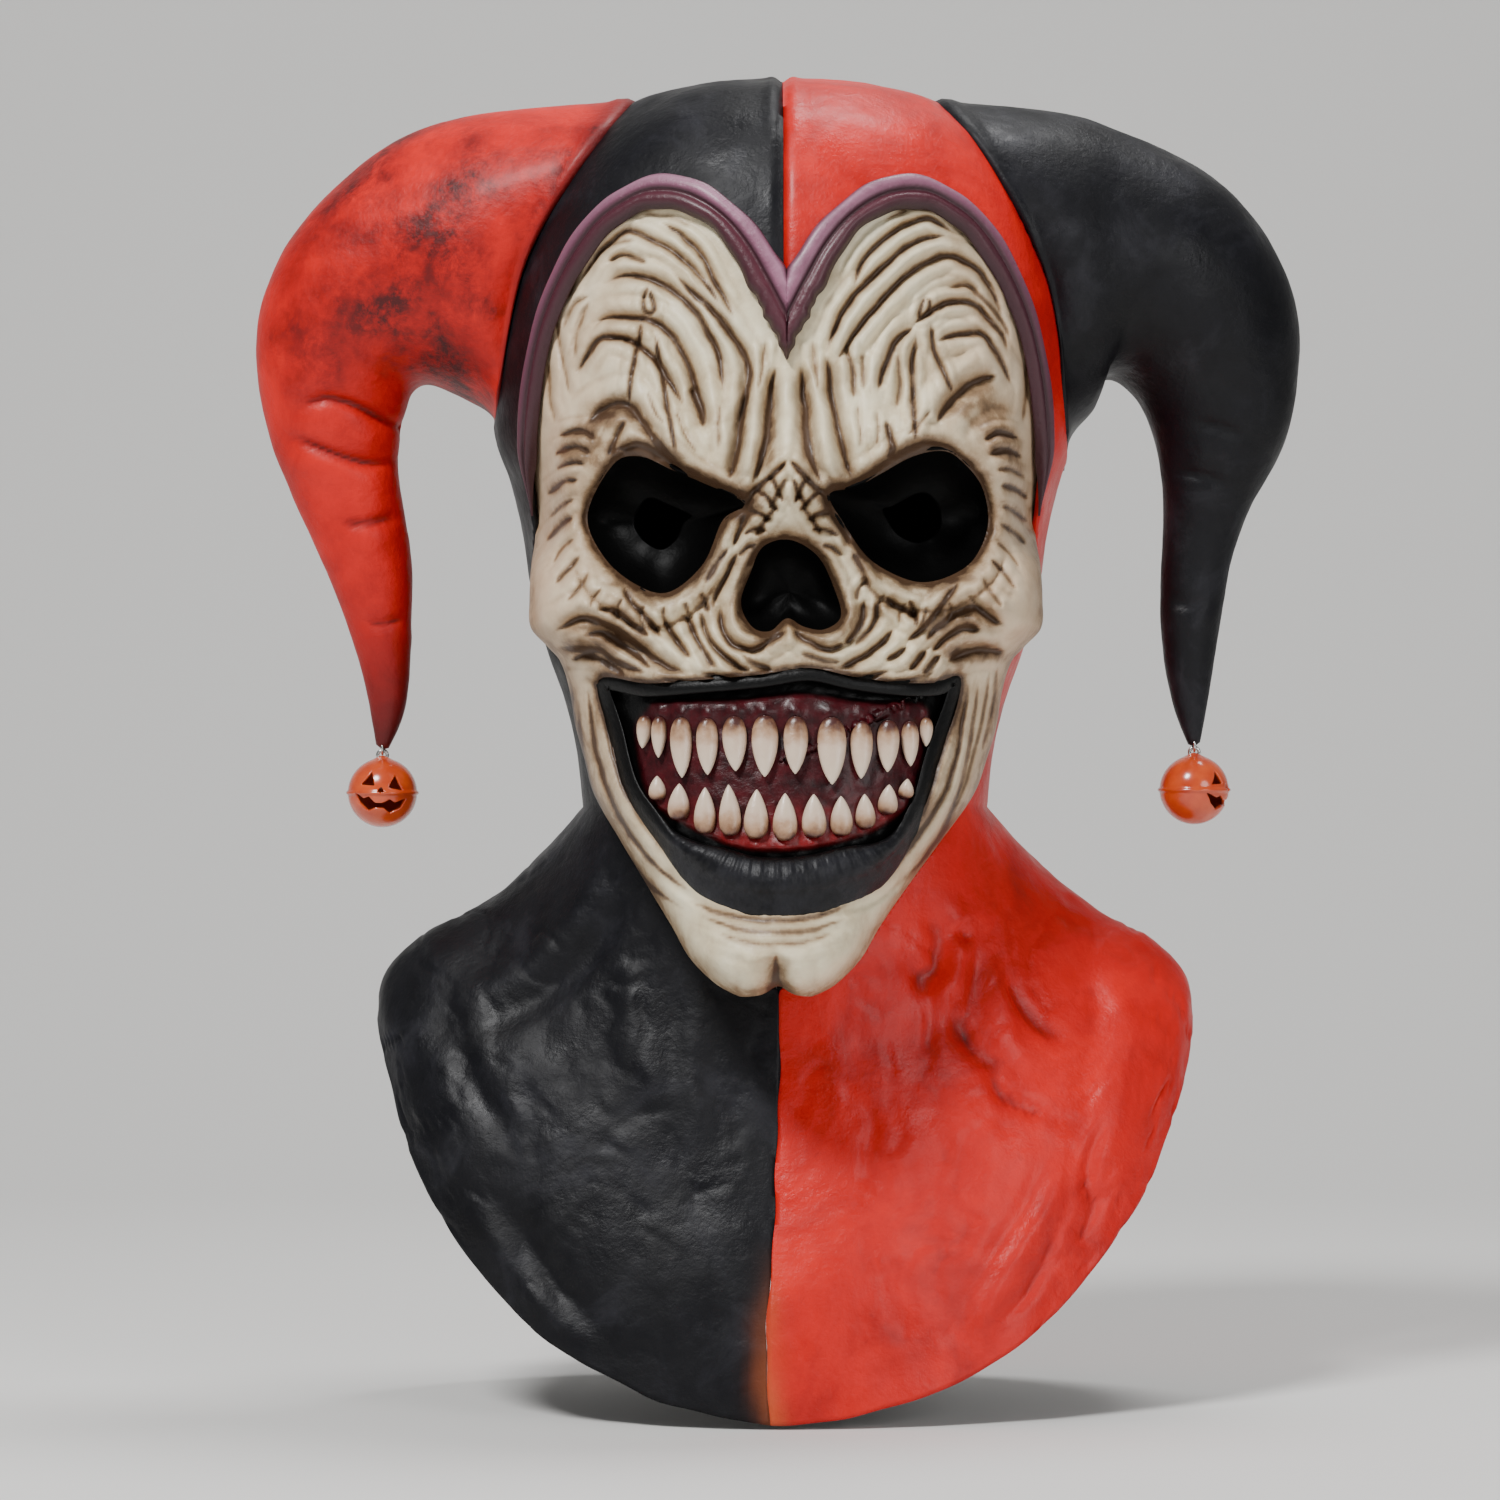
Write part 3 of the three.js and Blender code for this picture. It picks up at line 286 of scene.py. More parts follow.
def open_curve(points, count):
    """Evenly spaced points of a smooth open curve through the given ones."""
    base = np.array(points, float)
    padded = np.vstack([2 * base[0] - base[1], base, 2 * base[-1] - base[-2]])
    many = []
    for i in range(1, len(padded) - 2):
        p0, p1, p2, p3 = padded[i - 1:i + 3]
        for t in np.linspace(0, 1, 24, endpoint=False):
            many.append(0.5 * (2 * p1 + (p2 - p0) * t + (2 * p0 - 5 * p1 + 4 * p2 - p3) * t * t
                               + (3 * p1 - p0 - 3 * p2 + p3) * t**3))
    many.append(base[-1])
    return spaced(np.array(many), count)


def spaced(line, count):
    steps = np.linalg.norm(np.diff(line, axis=0), axis=1)
    along = np.concatenate([[0], np.cumsum(steps)])
    wanted = np.linspace(0, along[-1], count)
    return np.column_stack([np.interp(wanted, along, line[:, i]) for i in range(line.shape[1])])


def to_line(x, z, line, closed=False):
    """Distance of each point to a line in the front view, and how far along the line the nearest place is."""
    best = np.full(np.shape(x), 1e9)
    where = np.zeros(np.shape(x))
    ends = np.vstack([line, line[:1]]) if closed else np.asarray(line)
    steps = np.linalg.norm(np.diff(ends, axis=0), axis=1)
    total = steps.sum()
    done = 0.0
    for (ax, az), (bx, bz), step in zip(ends[:-1], ends[1:], steps):
        dx, dz = bx - ax, bz - az
        t = np.clip(((x - ax) * dx + (z - az) * dz) / max(step * step, 1e-9), 0, 1)
        away = np.hypot(x - ax - t * dx, z - az - t * dz)
        nearer = away < best
        best = np.where(nearer, away, best)
        where = np.where(nearer, (done + t * step) / total, where)
        done += step
    return best, where


def outside(x, z, outline):
    """Signed distance to a closed outline in the front view, positive outside."""
    away, _ = to_line(x, z, outline, closed=True)
    inside = np.zeros(np.shape(x), bool)
    for (ax, az), (bx, bz) in zip(outline, np.roll(outline, -1, axis=0)):
        crosses = (az > z) != (bz > z)
        reach = ax + (z - az) * (bx - ax) / (bz - az if bz != az else 1e-9)
        inside ^= crosses & (x < reach)
    return np.where(inside, -away, away)


def nearest(x, z, outlines):
    """Signed distance to the nearest of some closed outlines, positive outside them all."""
    return np.min([outside(x, z, outline) for outline in outlines], axis=0)


def near_line(x, z, line, reach):
    """Which points lie in the box round a line, grown by a reach."""
    low = line.min(0) - reach
    high = line.max(0) + reach
    return (x > low[0]) & (x < high[0]) & (z > low[1]) & (z < high[1])


def looks_out(points, face, outward):
    """Whether a face turns the way that outward gives for its first point."""
    a, b, c = (points[face[k]] for k in (0, 1, 2))
    return np.dot(np.cross(b - a, c - b), outward(a)) >= 0


def to_viewer(place):
    return np.array([0, -1.0, 0])


def grid_faces(rows, columns, around=False):
    i, j = np.meshgrid(np.arange(rows - 1), np.arange(columns if around else columns - 1), indexing="ij")
    k = (j + 1) % columns
    quads = np.stack([i * columns + j, i * columns + k, (i + 1) * columns + k, (i + 1) * columns + j], -1)
    return quads.reshape(-1, 4)


def clipped(points, faces, values, extras=()):
    """The part of a mesh where the values are positive, cut cleanly along their zero line."""
    faces = [list(face) for face in faces]
    values = np.asarray(values, float)
    sign = values > 0
    new_points = []
    made = {}
    kept = []
    start = len(points)
    for face in faces:
        good = [sign[i] for i in face]
        if all(good):
            kept.append(face)
            continue
        if not any(good):
            continue
        polygon = []
        for n, a in enumerate(face):
            b = face[(n + 1) % len(face)]
            if sign[a]:
                polygon.append(a)
            if sign[a] != sign[b]:
                key = (a, b) if a < b else (b, a)
                if key not in made:
                    made[key] = start + len(new_points)
                    share = values[key[0]] / (values[key[0]] - values[key[1]])
                    new_points.append((key[0], key[1], share))
                polygon.append(made[key])
        if len(polygon) > 2:
            kept.append(polygon)
    if new_points:
        a = np.array([p[0] for p in new_points])
        b = np.array([p[1] for p in new_points])
        share = np.array([p[2] for p in new_points])
        points = np.vstack([points, mix(points[a], points[b], share[:, None])])
        extras = [np.concatenate([e, mix(e[a], e[b], share)]) for e in extras]
    return points, kept, list(extras)


def tidy(points, faces, extras=()):
    """Drops the points that no face uses."""
    used = np.zeros(len(points), bool)
    for face in faces:
        used[face] = True
    place = np.cumsum(used) - 1
    return points[used], [[int(place[i]) for i in face] for face in faces], [e[used] for e in extras]


def wave(points, size, seed=0.0):
    """Soft noise from about -1 to 1, with details of that size in millimetres."""
    shift = Vector((seed, 2.3 * seed, -1.7 * seed))
    return np.array([noise.noise(Vector(p) / size + shift) for p in points])


def make_object(name, points, faces, marks=None):
    points = np.asarray(points, float) * MM
    mesh = bpy.data.meshes.new(name)
    mesh.from_pydata(points.tolist(), [], [list(map(int, face)) for face in faces])
    for key, values in (marks or {}).items():
        layer = mesh.attributes.new(key, "FLOAT", "POINT")
        layer.data.foreach_set("value", np.asarray(values, np.float32))
    mesh.validate()
    mesh.polygons.foreach_set("use_smooth", [True] * len(mesh.polygons))
    obj = bpy.data.objects.new(name, mesh)
    bpy.context.scene.collection.objects.link(obj)
    return obj


def thicken(obj, thickness):
    """Gives a skin its thickness inwards; a second material of the piece goes to its inside."""
    layer = obj.modifiers.new("wall", "SOLIDIFY")
    layer.thickness = thickness * MM
    layer.offset = -1
    layer.use_even_offset = False
    layer.material_offset = 1


def from_photo(pixels, depth=None):
    """Front view places of photo pixels on a surface, whose depth is a function of x and z."""
    pixels = np.array(pixels, float)
    x = np.zeros(len(pixels))
    z = np.zeros(len(pixels))
    y = np.zeros(len(pixels))
    for _ in range(4):
        scale = PIXEL_MM * (CAMERA_AWAY + y) / CAMERA_AWAY
        x = AIM_X + (pixels[:, 0] - PHOTO_MIDDLE) * scale
        z = AIM_Z - (pixels[:, 1] - PHOTO_MIDDLE) * scale
        if depth is not None:
            y = depth(x, z)
    return np.column_stack([x, z])


def at_depth(depth):
    """Depth function of a plane that faces the camera."""
    return lambda x, z: np.full(np.shape(x), depth)


# Forms, the same as in the solids

def head_point(down, angle):
    """Points on the head at angles from straight ahead."""
    half = column(HOOD_ROWS, down, 1) * HEAD_HALF
    front = column(HOOD_ROWS, down, 2) * HEAD_FRONT
    back = column(HOOD_ROWS, down, 3) * HEAD_BACK
    reach = np.where(np.cos(angle) > 0, front, back)
    power = 2 / POWER
    x = half * bend(np.sin(angle), power)
    y = -reach * bend(np.cos(angle), power)
    z = -down * HEAD_DROP + 0 * x
    return np.stack([x, y, z], -1)


def bib_point(drop, angle):
    """Points on the bib, from the neck at drop 0 to the hem at drop 1."""
    facing = np.cos(angle)
    start = head_point(HOOD_ROWS[-1][0] + 0 * angle, angle)
    share = (np.hypot(facing, HEM_ROUND) - HEM_ROUND) / (math.hypot(1, HEM_ROUND) - HEM_ROUND)
    ahead = facing > 0
    end_x = BIB_HALF * np.sin(angle)
    end_y = -facing * np.where(ahead, BIB_FRONT, BIB_BACK)
    end_z = -SHOULDER_DROP - share * np.where(ahead, HEM_FRONT_EXTRA, HEM_BACK_EXTRA)
    out = mix(column(BIB_ROWS, drop, 1), column(BIB_ROWS, drop, 2), facing**2)
    x = mix(start[..., 0], end_x, out)
    y = mix(start[..., 1], end_y, out)
    z = mix(start[..., 2], end_z, drop)
    return np.stack([x, y, z], -1)


def hood_depth(x, z, index, size):
    down = -z / HEAD_DROP
    half = column(HOOD_ROWS, down, 1) * HEAD_HALF
    reach = column(HOOD_ROWS, down, index) * size
    share = np.minimum(np.abs(x) / half, 1)
    return reach * (1 - share**POWER) ** (1 / POWER)


def hood_front(x, z):
    return -hood_depth(x, z, 2, HEAD_FRONT)


def hood_back(x, z):
    return hood_depth(x, z, 3, HEAD_BACK)


def face_middle(z):
    return -CHIN_LEAN * smooth(-z / HEAD_DROP, 0.72, 0.95)


def face_forms(x, z):
    rise = 0 * x
    for out, down, wide, tall, high, pair in FACE_FORMS:
        for side in ((-1, 1) if pair else (1,)):
            across = (x - face_middle(z) - side * out * HEAD_HALF) / (wide * HEAD_HALF)
            along = (z + down * HEAD_DROP) / (tall * HEAD_DROP)
            rise = rise + high * FACE_REACH * np.exp(-across**2 - along**2)
    return rise


def face_front(x, z):
    """Depth of the face skin's outside, before its creases."""
    down = -z / HEAD_DROP
    half = column(FACE_ROWS, down, 1) * HEAD_HALF
    side = column(FACE_ROWS, down, 2) * FACE_REACH
    front = column(FACE_ROWS, down, 3) * FACE_REACH
    off = np.abs(x - face_middle(z))
    share = np.minimum(off / half, 1)
    crown = (1 - share**FACE_POWER) ** (1 / FACE_POWER)
    edge = smooth(off, 70, 82) * column(FACE_ROWS, down, 5)
    own = np.clip(column(FACE_ROWS, down, 4), 0, 1) * (1 - edge)
    own_depth = -side - (front - side) * crown - face_forms(x, z) * np.minimum(3 * crown, 1)
    step = 1.0
    slope_x = (hood_front(x + step, z) - hood_front(x - step, z)) / (2 * step)
    slope_z = (hood_front(x, z + step) - hood_front(x, z - step)) / (2 * step)
    steep = np.minimum(np.sqrt(1 + slope_x**2 + slope_z**2), 4)
    under = hood_front(x, z) + (WALL + 1.5) * steep
    return mix(under, own_depth, own)


def shares(rows, side=1):
    """Front view points of out and down shares."""
    return np.array([(side * row[0] * HEAD_HALF, -row[1] * HEAD_DROP) for row in rows])


# Strokes of the face, read off the photograph: height and width in millimetres, brown wash with painted shade
# beside the crease, points in pixels.
# A height below zero is a crease, and one above it is a lobe or ridge.
STROKES = [
    # lobes of the forehead and brows
    (3.2, 8.0, 0, [(585, 372), (602, 356), (618, 372), (620, 396)]),
    (4.2, 6.0, 0, [(640, 366), (652, 400), (672, 436), (700, 468), (712, 478)]),
    (2.6, 4.2, 0, [(716, 360), (722, 392), (714, 428), (712, 456)]),
    (2.4, 3.6, 0, [(757, 370), (756, 420), (748, 462), (741, 488)]),
    (2.2, 4.0, 0, [(788, 372), (789, 410), (788, 450)]),
    (2.4, 3.6, 0, [(815, 372), (822, 420), (832, 458), (840, 486)]),
    (3.6, 6.0, 0, [(872, 372), (868, 410), (870, 446), (870, 472)]),
    (3.4, 5.0, 0, [(934, 396), (916, 424), (898, 448), (884, 464)]),
    (3.0, 8.0, 0, [(962, 352), (984, 360), (994, 384)]),
    (2.0, 4.0, 0, [(986, 418), (1002, 450), (1004, 500), (996, 548)]),
    (2.0, 4.0, 0, [(588, 440), (570, 476), (568, 524), (582, 570)]),
    # arcs between the creases of the forehead
    (1.3, 4.0, 0, [(604, 268), (632, 246), (668, 262), (696, 286), (722, 322)]),
    (1.3, 4.0, 0, [(604, 304), (640, 296), (674, 312), (700, 346), (712, 390)]),
    (1.3, 4.0, 0, [(836, 340), (862, 300), (900, 264), (944, 246), (978, 262), (1002, 300)]),
    (1.3, 4.0, 0, [(846, 372), (870, 332), (912, 292), (956, 272), (992, 300), (1008, 340)]),
    # rims of the sockets, cheekbones and nose
    (2.4, 3.6, 0, [(584, 578), (612, 600), (648, 612), (684, 598), (708, 570), (724, 546)]),
    (2.4, 3.6, 0, [(846, 540), (866, 572), (894, 592), (932, 598), (968, 588), (994, 566)]),
    (3.0, 9.0, 0, [(548, 580), (552, 610), (572, 640)]),
    (3.0, 9.0, 0, [(1026, 570), (1022, 604), (1002, 636)]),
    (2.8, 2.6, 0, [(762, 538), (745, 566), (735, 598), (736, 624), (750, 638), (772, 640)]),
    (2.8, 2.6, 0, [(816, 540), (836, 566), (848, 598), (848, 622), (834, 636), (808, 638)]),
    (2.6, 2.4, 0, [(789, 606), (789, 630), (790, 648)]),
    (3.4, 5.0, 0, [(789, 466), (789, 500), (790, 530)]),
    (1.8, 2.2, 0, [(780, 480), (766, 500), (752, 522), (744, 546)]),
    (1.8, 2.2, 0, [(799, 480), (813, 500), (828, 522), (838, 546)]),
    (1.8, 2.4, 0, [(731, 524), (722, 546), (712, 572), (704, 600)]),
    (1.8, 2.4, 0, [(848, 530), (858, 556), (868, 584), (874, 606)]),
    # chin
    (3.0, 8.0, 0, [(704, 944), (722, 964), (748, 984)]),
    (3.0, 8.0, 0, [(850, 940), (830, 964), (806, 984)]),
    # left forehead
    (-1.5, 1.2, 0.75, [(577, 285), (602, 250), (625, 232), (641, 235), (664, 246), (686, 262),
                       (704, 282), (723, 309)]),
    (-1.5, 1.2, 0.75, [(662, 223), (682, 235), (700, 253), (714, 280), (734, 317)]),
    (-1.1, 1.2, 0.6, [(608, 261), (623, 255), (637, 259), (647, 264)]),
    (-0.8, 1.1, 0.35, [(603, 249), (618, 242), (636, 241)]),
    (-0.8, 1.4, 0.3, [(640, 214), (668, 216), (692, 226)]),
    (-1.8, 1.5, 0.85, [(604, 283), (621, 276), (639, 276), (659, 282), (677, 294), (696, 312),
                       (709, 334), (720, 362),
                       (724, 396)]),
    (-1.9, 1.5, 0.9, [(675, 273), (686, 287), (705, 303), (723, 323), (739, 346), (749, 371),
                      (745, 403), (736, 430)]),
    (-2.0, 1.6, 0.85, [(595, 328), (604, 319), (621, 317), (639, 318), (657, 323), (673, 337),
                       (686, 359), (695, 385),
                       (705, 418), (704, 432)]),
    (-2.2, 2.2, 0.9, [(690, 386), (700, 410), (704, 428)]),
    (-1.9, 1.4, 0.9, [(575, 376), (595, 344), (614, 337), (636, 344), (655, 360), (671, 384), (684, 407)]),
    (-1.0, 0.9, 0.7, [(649, 285), (644, 301), (646, 312), (654, 310), (650, 288)]),
    (-1.2, 1.0, 0.8, [(643, 319), (639, 341), (632, 376), (629, 407)]),
    (-1.2, 1.0, 0.8, [(655, 332), (661, 367), (668, 412), (677, 459)]),
    (-0.8, 1.0, 0.4, [(555, 316), (561, 350), (568, 385), (571, 396)]),
    (-0.8, 1.0, 0.4, [(590, 300), (578, 330), (574, 360)]),
    (-2.6, 2.2, 1.0, [(586, 424), (600, 412), (618, 404), (632, 408), (650, 432), (668, 456), (690, 476)]),
    (-1.2, 1.1, 0.7, [(625, 420), (617, 436), (608, 456)]),
    (-2.6, 2.0, 0.8, [(746, 394), (741, 424), (736, 459), (728, 480)]),
    (-2.8, 2.2, 0.9, [(775, 366), (770, 400), (764, 450), (752, 486)]),
    # right forehead
    (-1.5, 1.2, 0.75, [(853, 287), (864, 260), (885, 237), (910, 223), (928, 218), (946, 228), (956, 234)]),
    (-1.8, 1.3, 0.85, [(826, 353), (844, 309), (871, 278), (901, 251), (922, 239), (939, 236), (949, 239)]),
    (-1.9, 1.4, 0.85, [(833, 367), (856, 332), (881, 301), (910, 273), (931, 260), (949, 256),
                       (972, 266), (990, 287),
                       (1005, 323)]),
    (-1.2, 1.2, 0.6, [(946, 289), (964, 285), (981, 298), (999, 317), (1010, 341)]),
    (-1.7, 1.3, 0.85, [(910, 326), (928, 314), (946, 303), (971, 303), (990, 321), (1003, 337), (1006, 353)]),
    (-1.7, 1.4, 0.8, [(937, 342), (946, 337), (964, 334), (983, 335), (999, 359), (1012, 385)]),
    (-1.8, 1.4, 0.85, [(878, 391), (885, 367), (896, 341), (914, 326)]),
    (-1.0, 0.9, 0.7, [(925, 296), (919, 316), (928, 312), (930, 303), (926, 297)]),
    (-1.3, 1.1, 0.8, [(917, 334), (912, 367), (914, 412), (915, 444)]),
    (-1.2, 1.0, 0.8, [(931, 323), (933, 346), (944, 373), (953, 394)]),
    (-2.6, 2.4, 1.0, [(936, 424), (946, 408), (960, 392), (978, 380), (998, 376)]),
    (-2.8, 2.2, 0.9, [(801, 366), (804, 400), (809, 450), (822, 486)]),
    (-2.4, 1.9, 0.85, [(826, 355), (833, 403), (842, 445), (852, 482)]),
    (-1.2, 1.2, 0.6, [(844, 340), (852, 372), (854, 400)]),
    (-1.2, 1.2, 0.5, [(862, 352), (863, 391)]),
    (-1.6, 1.4, 0.8, [(885, 420), (892, 448), (886, 464)]),
    (-1.0, 1.1, 0.5, [(896, 350), (900, 380), (896, 410)]),
    # dark edges of the brows over the eyes
    (-2.0, 1.6, 1.1, [(612, 450), (640, 446), (664, 458), (690, 478), (716, 490), (744, 500)]),
    (-2.0, 1.6, 1.1, [(832, 494), (852, 488), (880, 470), (900, 456), (924, 446), (950, 446)]),
    # outer corners
    (-1.3, 1.1, 0.8, [(596, 438), (578, 431), (559, 436)]),
    (-1.2, 1.2, 0.7, [(590, 452), (572, 448), (555, 455)]),
    (-1.0, 0.9, 0.5, [(584, 464), (570, 463), (556, 470)]),
    (-1.4, 1.1, 0.7, [(578, 480), (562, 483), (547, 494)]),
    (-1.1, 1.0, 0.5, [(575, 500), (562, 506), (549, 518)]),
    (-1.4, 1.2, 0.7, [(573, 518), (560, 526), (546, 541)]),
    (-1.0, 0.9, 0.4, [(575, 538), (563, 548), (553, 564)]),
    (-1.3, 1.1, 0.6, [(580, 556), (569, 569), (556, 584)]),
    (-1.1, 1.1, 0.5, [(588, 572), (580, 587), (567, 602)]),
    (-1.4, 1.1, 0.8, [(984, 440), (1000, 433), (1018, 438)]),
    (-1.2, 1.2, 0.7, [(990, 454), (1006, 451), (1022, 458)]),
    (-1.0, 0.9, 0.5, [(996, 470), (1010, 470), (1026, 478)]),
    (-1.4, 1.1, 0.7, [(1000, 486), (1014, 489), (1028, 499)]),
    (-1.1, 1.0, 0.5, [(1001, 506), (1014, 511), (1028, 522)]),
    (-1.4, 1.2, 0.6, [(1000, 524), (1013, 532), (1026, 545)]),
    (-1.0, 0.9, 0.4, [(997, 542), (1009, 553), (1020, 568)]),
    (-1.3, 1.1, 0.6, [(990, 560), (1003, 573), (1016, 590)]),
    (-1.1, 1.1, 0.5, [(982, 578), (991, 593), (1002, 608)]),
    # short lines that run out from under the sockets
    (-0.9, 0.8, 0.5, [(602, 588), (592, 602), (590, 610)]),
    (-1.0, 0.8, 0.5, [(622, 598), (616, 610), (618, 620)]),
    (-0.9, 0.8, 0.5, [(644, 605), (640, 617), (644, 628)]),
    (-1.0, 0.8, 0.5, [(664, 606), (663, 616), (668, 626)]),
    (-0.9, 0.8, 0.5, [(684, 602), (687, 612), (692, 620)]),
    (-1.0, 0.8, 0.5, [(700, 592), (706, 602), (708, 612)]),
    (-0.9, 0.8, 0.5, [(867, 578), (858, 590), (856, 602)]),
    (-1.0, 0.8, 0.5, [(885, 594), (878, 606), (878, 616)]),
    (-0.9, 0.8, 0.5, [(905, 602), (899, 614), (901, 624)]),
    (-1.0, 0.8, 0.5, [(927, 606), (924, 616), (920, 628)]),
    (-0.9, 0.8, 0.5, [(949, 602), (952, 612), (948, 622)]),
    (-1.0, 0.8, 0.5, [(969, 594), (976, 604), (982, 612)]),
    # petals of the nose bridge
    (-1.3, 0.9, 0.7, [(784, 504), (777, 488), (769, 473)]),
    (-1.3, 0.9, 0.7, [(794, 504), (801, 488), (808, 474)]),
    (-1.2, 0.9, 0.7, [(779, 512), (767, 498), (756, 488)]),
    (-1.2, 0.9, 0.7, [(799, 512), (811, 499), (822, 490)]),
    (-1.2, 0.9, 0.6, [(772, 520), (759, 513), (747, 511)]),
    (-1.2, 0.9, 0.6, [(806, 520), (819, 514), (831, 512)]),
    (-1.1, 0.9, 0.6, [(767, 530), (754, 529), (743, 535)]),
    (-1.1, 0.9, 0.6, [(811, 530), (825, 530), (838, 536)]),
    (-1.0, 0.9, 0.5, [(757, 545), (748, 547), (738, 556)]),
    (-1.0, 0.9, 0.5, [(822, 545), (832, 548), (843, 557)]),
    # between the nose and the upper lip
    (-1.1, 1.0, 0.5, [(700, 672), (742, 682), (786, 680)]),
    (-1.1, 1.0, 0.5, [(798, 680), (848, 681), (892, 670)]),
    (-0.9, 0.8, 0.4, [(660, 678), (690, 684), (726, 688)]),
    (-0.9, 0.8, 0.4, [(850, 688), (900, 682), (936, 672)]),
    # short lines on the brow lobes
    (-0.8, 0.8, 0.4, [(648, 392), (655, 412), (664, 426)]),
    (-0.8, 0.8, 0.4, [(676, 410), (686, 436), (698, 454)]),
    (-0.8, 0.8, 0.4, [(720, 404), (718, 430), (719, 450)]),
    (-0.8, 0.8, 0.4, [(858, 404), (860, 430), (862, 450)]),
    (-0.8, 0.8, 0.4, [(876, 410), (878, 430), (875, 448)]),
    (-0.8, 0.8, 0.4, [(930, 410), (918, 426), (906, 436)]),
    # tops of the forehead, under the trim
    (-1.0, 1.0, 0.5, [(600, 232), (628, 212), (656, 206)]),
    (-1.0, 1.0, 0.5, [(882, 222), (914, 208), (944, 212)]),
    (-1.0, 1.0, 0.4, [(566, 300), (580, 268), (596, 246)]),
    (-1.0, 1.0, 0.4, [(984, 246), (1004, 274), (1014, 304)]),
    (-0.9, 0.9, 0.4, [(562, 330), (574, 306), (590, 296)]),
    (-1.0, 1.0, 0.4, [(548, 360), (550, 396), (556, 424)]),
    (-1.0, 1.0, 0.4, [(1026, 360), (1026, 396), (1022, 424)]),
    (-1.0, 1.0, 0.4, [(766, 340), (762, 366), (758, 392)]),
    (-1.0, 1.0, 0.4, [(812, 340), (815, 366), (819, 392)]),
    # rings under the sockets
    (-1.0, 1.3, 0.4, [(570, 560), (588, 592), (620, 618), (650, 628), (680, 620), (706, 600), (722, 572)]),
    (-1.0, 1.2, 0.4, [(1008, 552), (990, 584), (960, 606), (926, 612), (892, 604), (868, 588), (852, 560)]),
    # nose bridge and sides
    (-1.6, 1.2, 0.8, [(788, 460), (772, 476), (756, 490), (744, 502)]),
    (-1.6, 1.2, 0.8, [(790, 460), (804, 476), (818, 490), (830, 500)]),
    (-1.3, 1.0, 0.7, [(786, 478), (778, 494), (768, 508)]),
    (-1.3, 1.0, 0.7, [(792, 478), (799, 494), (808, 508)]),
    (-1.2, 1.0, 0.6, [(776, 506), (764, 522), (756, 536)]),
    (-1.2, 1.0, 0.6, [(802, 506), (812, 520), (822, 536)]),
    (-1.3, 1.1, 0.7, [(748, 512), (740, 528), (733, 546)]),
    (-1.3, 1.1, 0.7, [(832, 512), (842, 528), (850, 546)]),
    (-1.3, 1.1, 0.7, [(738, 552), (728, 572), (718, 592), (714, 606)]),
    (-1.3, 1.1, 0.7, [(852, 552), (862, 572), (870, 590)]),
    (-1.1, 1.0, 0.6, [(728, 548), (716, 566), (706, 584)]),
    # left cheek
    (-2.6, 1.9, 1.0, [(597, 609), (613, 610), (631, 623), (650, 637)]),
    (-2.6, 2.0, 1.0, [(556, 631), (579, 618), (597, 621), (620, 632), (641, 648), (663, 664), (686, 674)]),
    (-2.4, 2.6, 0.9, [(584, 636), (606, 634), (620, 644), (636, 655), (652, 669)]),
    (-1.8, 1.5, 0.9, [(559, 648), (581, 649), (600, 651), (616, 662), (645, 673)]),
    (-2.0, 1.8, 0.9, [(570, 661), (586, 655), (599, 659), (627, 676)]),
    (-1.6, 1.2, 0.8, [(622, 587), (634, 605), (652, 625), (663, 637)]),
    (-1.6, 1.3, 0.8, [(663, 619), (674, 635), (684, 651), (690, 659)]),
    (-1.8, 1.5, 0.8, [(679, 614), (688, 621), (699, 642), (709, 660), (718, 669)]),
    (-1.7, 1.4, 0.7, [(699, 610), (706, 630), (716, 648), (734, 662), (743, 671)]),
    (-1.7, 1.3, 0.8, [(720, 607), (722, 628), (734, 644), (752, 650), (770, 641), (788, 630)]),
    (-1.4, 1.2, 0.6, [(708, 639), (725, 659), (750, 671)]),
    (-1.2, 1.1, 0.5, [(741, 655), (756, 664), (772, 670)]),
    # right cheek
    (-1.8, 1.3, 0.9, [(959, 583), (944, 602), (928, 623), (907, 642)]),
    (-2.8, 2.2, 1.0, [(925, 642), (935, 630), (956, 614), (976, 608), (994, 620), (1004, 626)]),
    (-2.0, 1.5, 0.9, [(932, 652), (945, 639), (963, 628), (980, 630)]),
    (-1.8, 1.5, 0.8, [(949, 662), (960, 655), (978, 650), (1004, 652)]),
    (-1.8, 1.4, 0.8, [(840, 668), (863, 656), (883, 642), (894, 628)]),
    (-1.4, 1.2, 0.7, [(886, 660), (898, 654), (907, 648)]),
    (-1.6, 1.3, 0.8, [(909, 670), (918, 660), (925, 650)]),
    (-1.8, 1.5, 0.8, [(863, 601), (861, 618), (854, 635), (845, 644)]),
    (-1.6, 1.3, 0.7, [(876, 602), (875, 618), (868, 632), (854, 646)]),
    (-1.8, 1.5, 0.8, [(885, 597), (901, 609), (918, 618)]),
    (-1.3, 1.1, 0.7, [(907, 600), (914, 612), (916, 626)]),
    (-1.5, 1.2, 0.8, [(923, 674), (932, 664), (940, 656)]),
    (-1.7, 1.3, 0.7, [(792, 630), (808, 642), (830, 650), (846, 642)]),
    (-1.2, 1.1, 0.5, [(800, 652), (822, 660), (840, 662)]),
    # down the jaw, beside the lips
    (-1.3, 1.2, 0.7, [(588, 690), (597, 757), (624, 824), (658, 868), (691, 892)]),
    (-1.2, 1.2, 0.6, [(578, 700), (586, 771), (610, 832), (648, 883), (682, 907)]),
    (-0.9, 1.0, 0.5, [(571, 680), (576, 734), (592, 790), (614, 836)]),
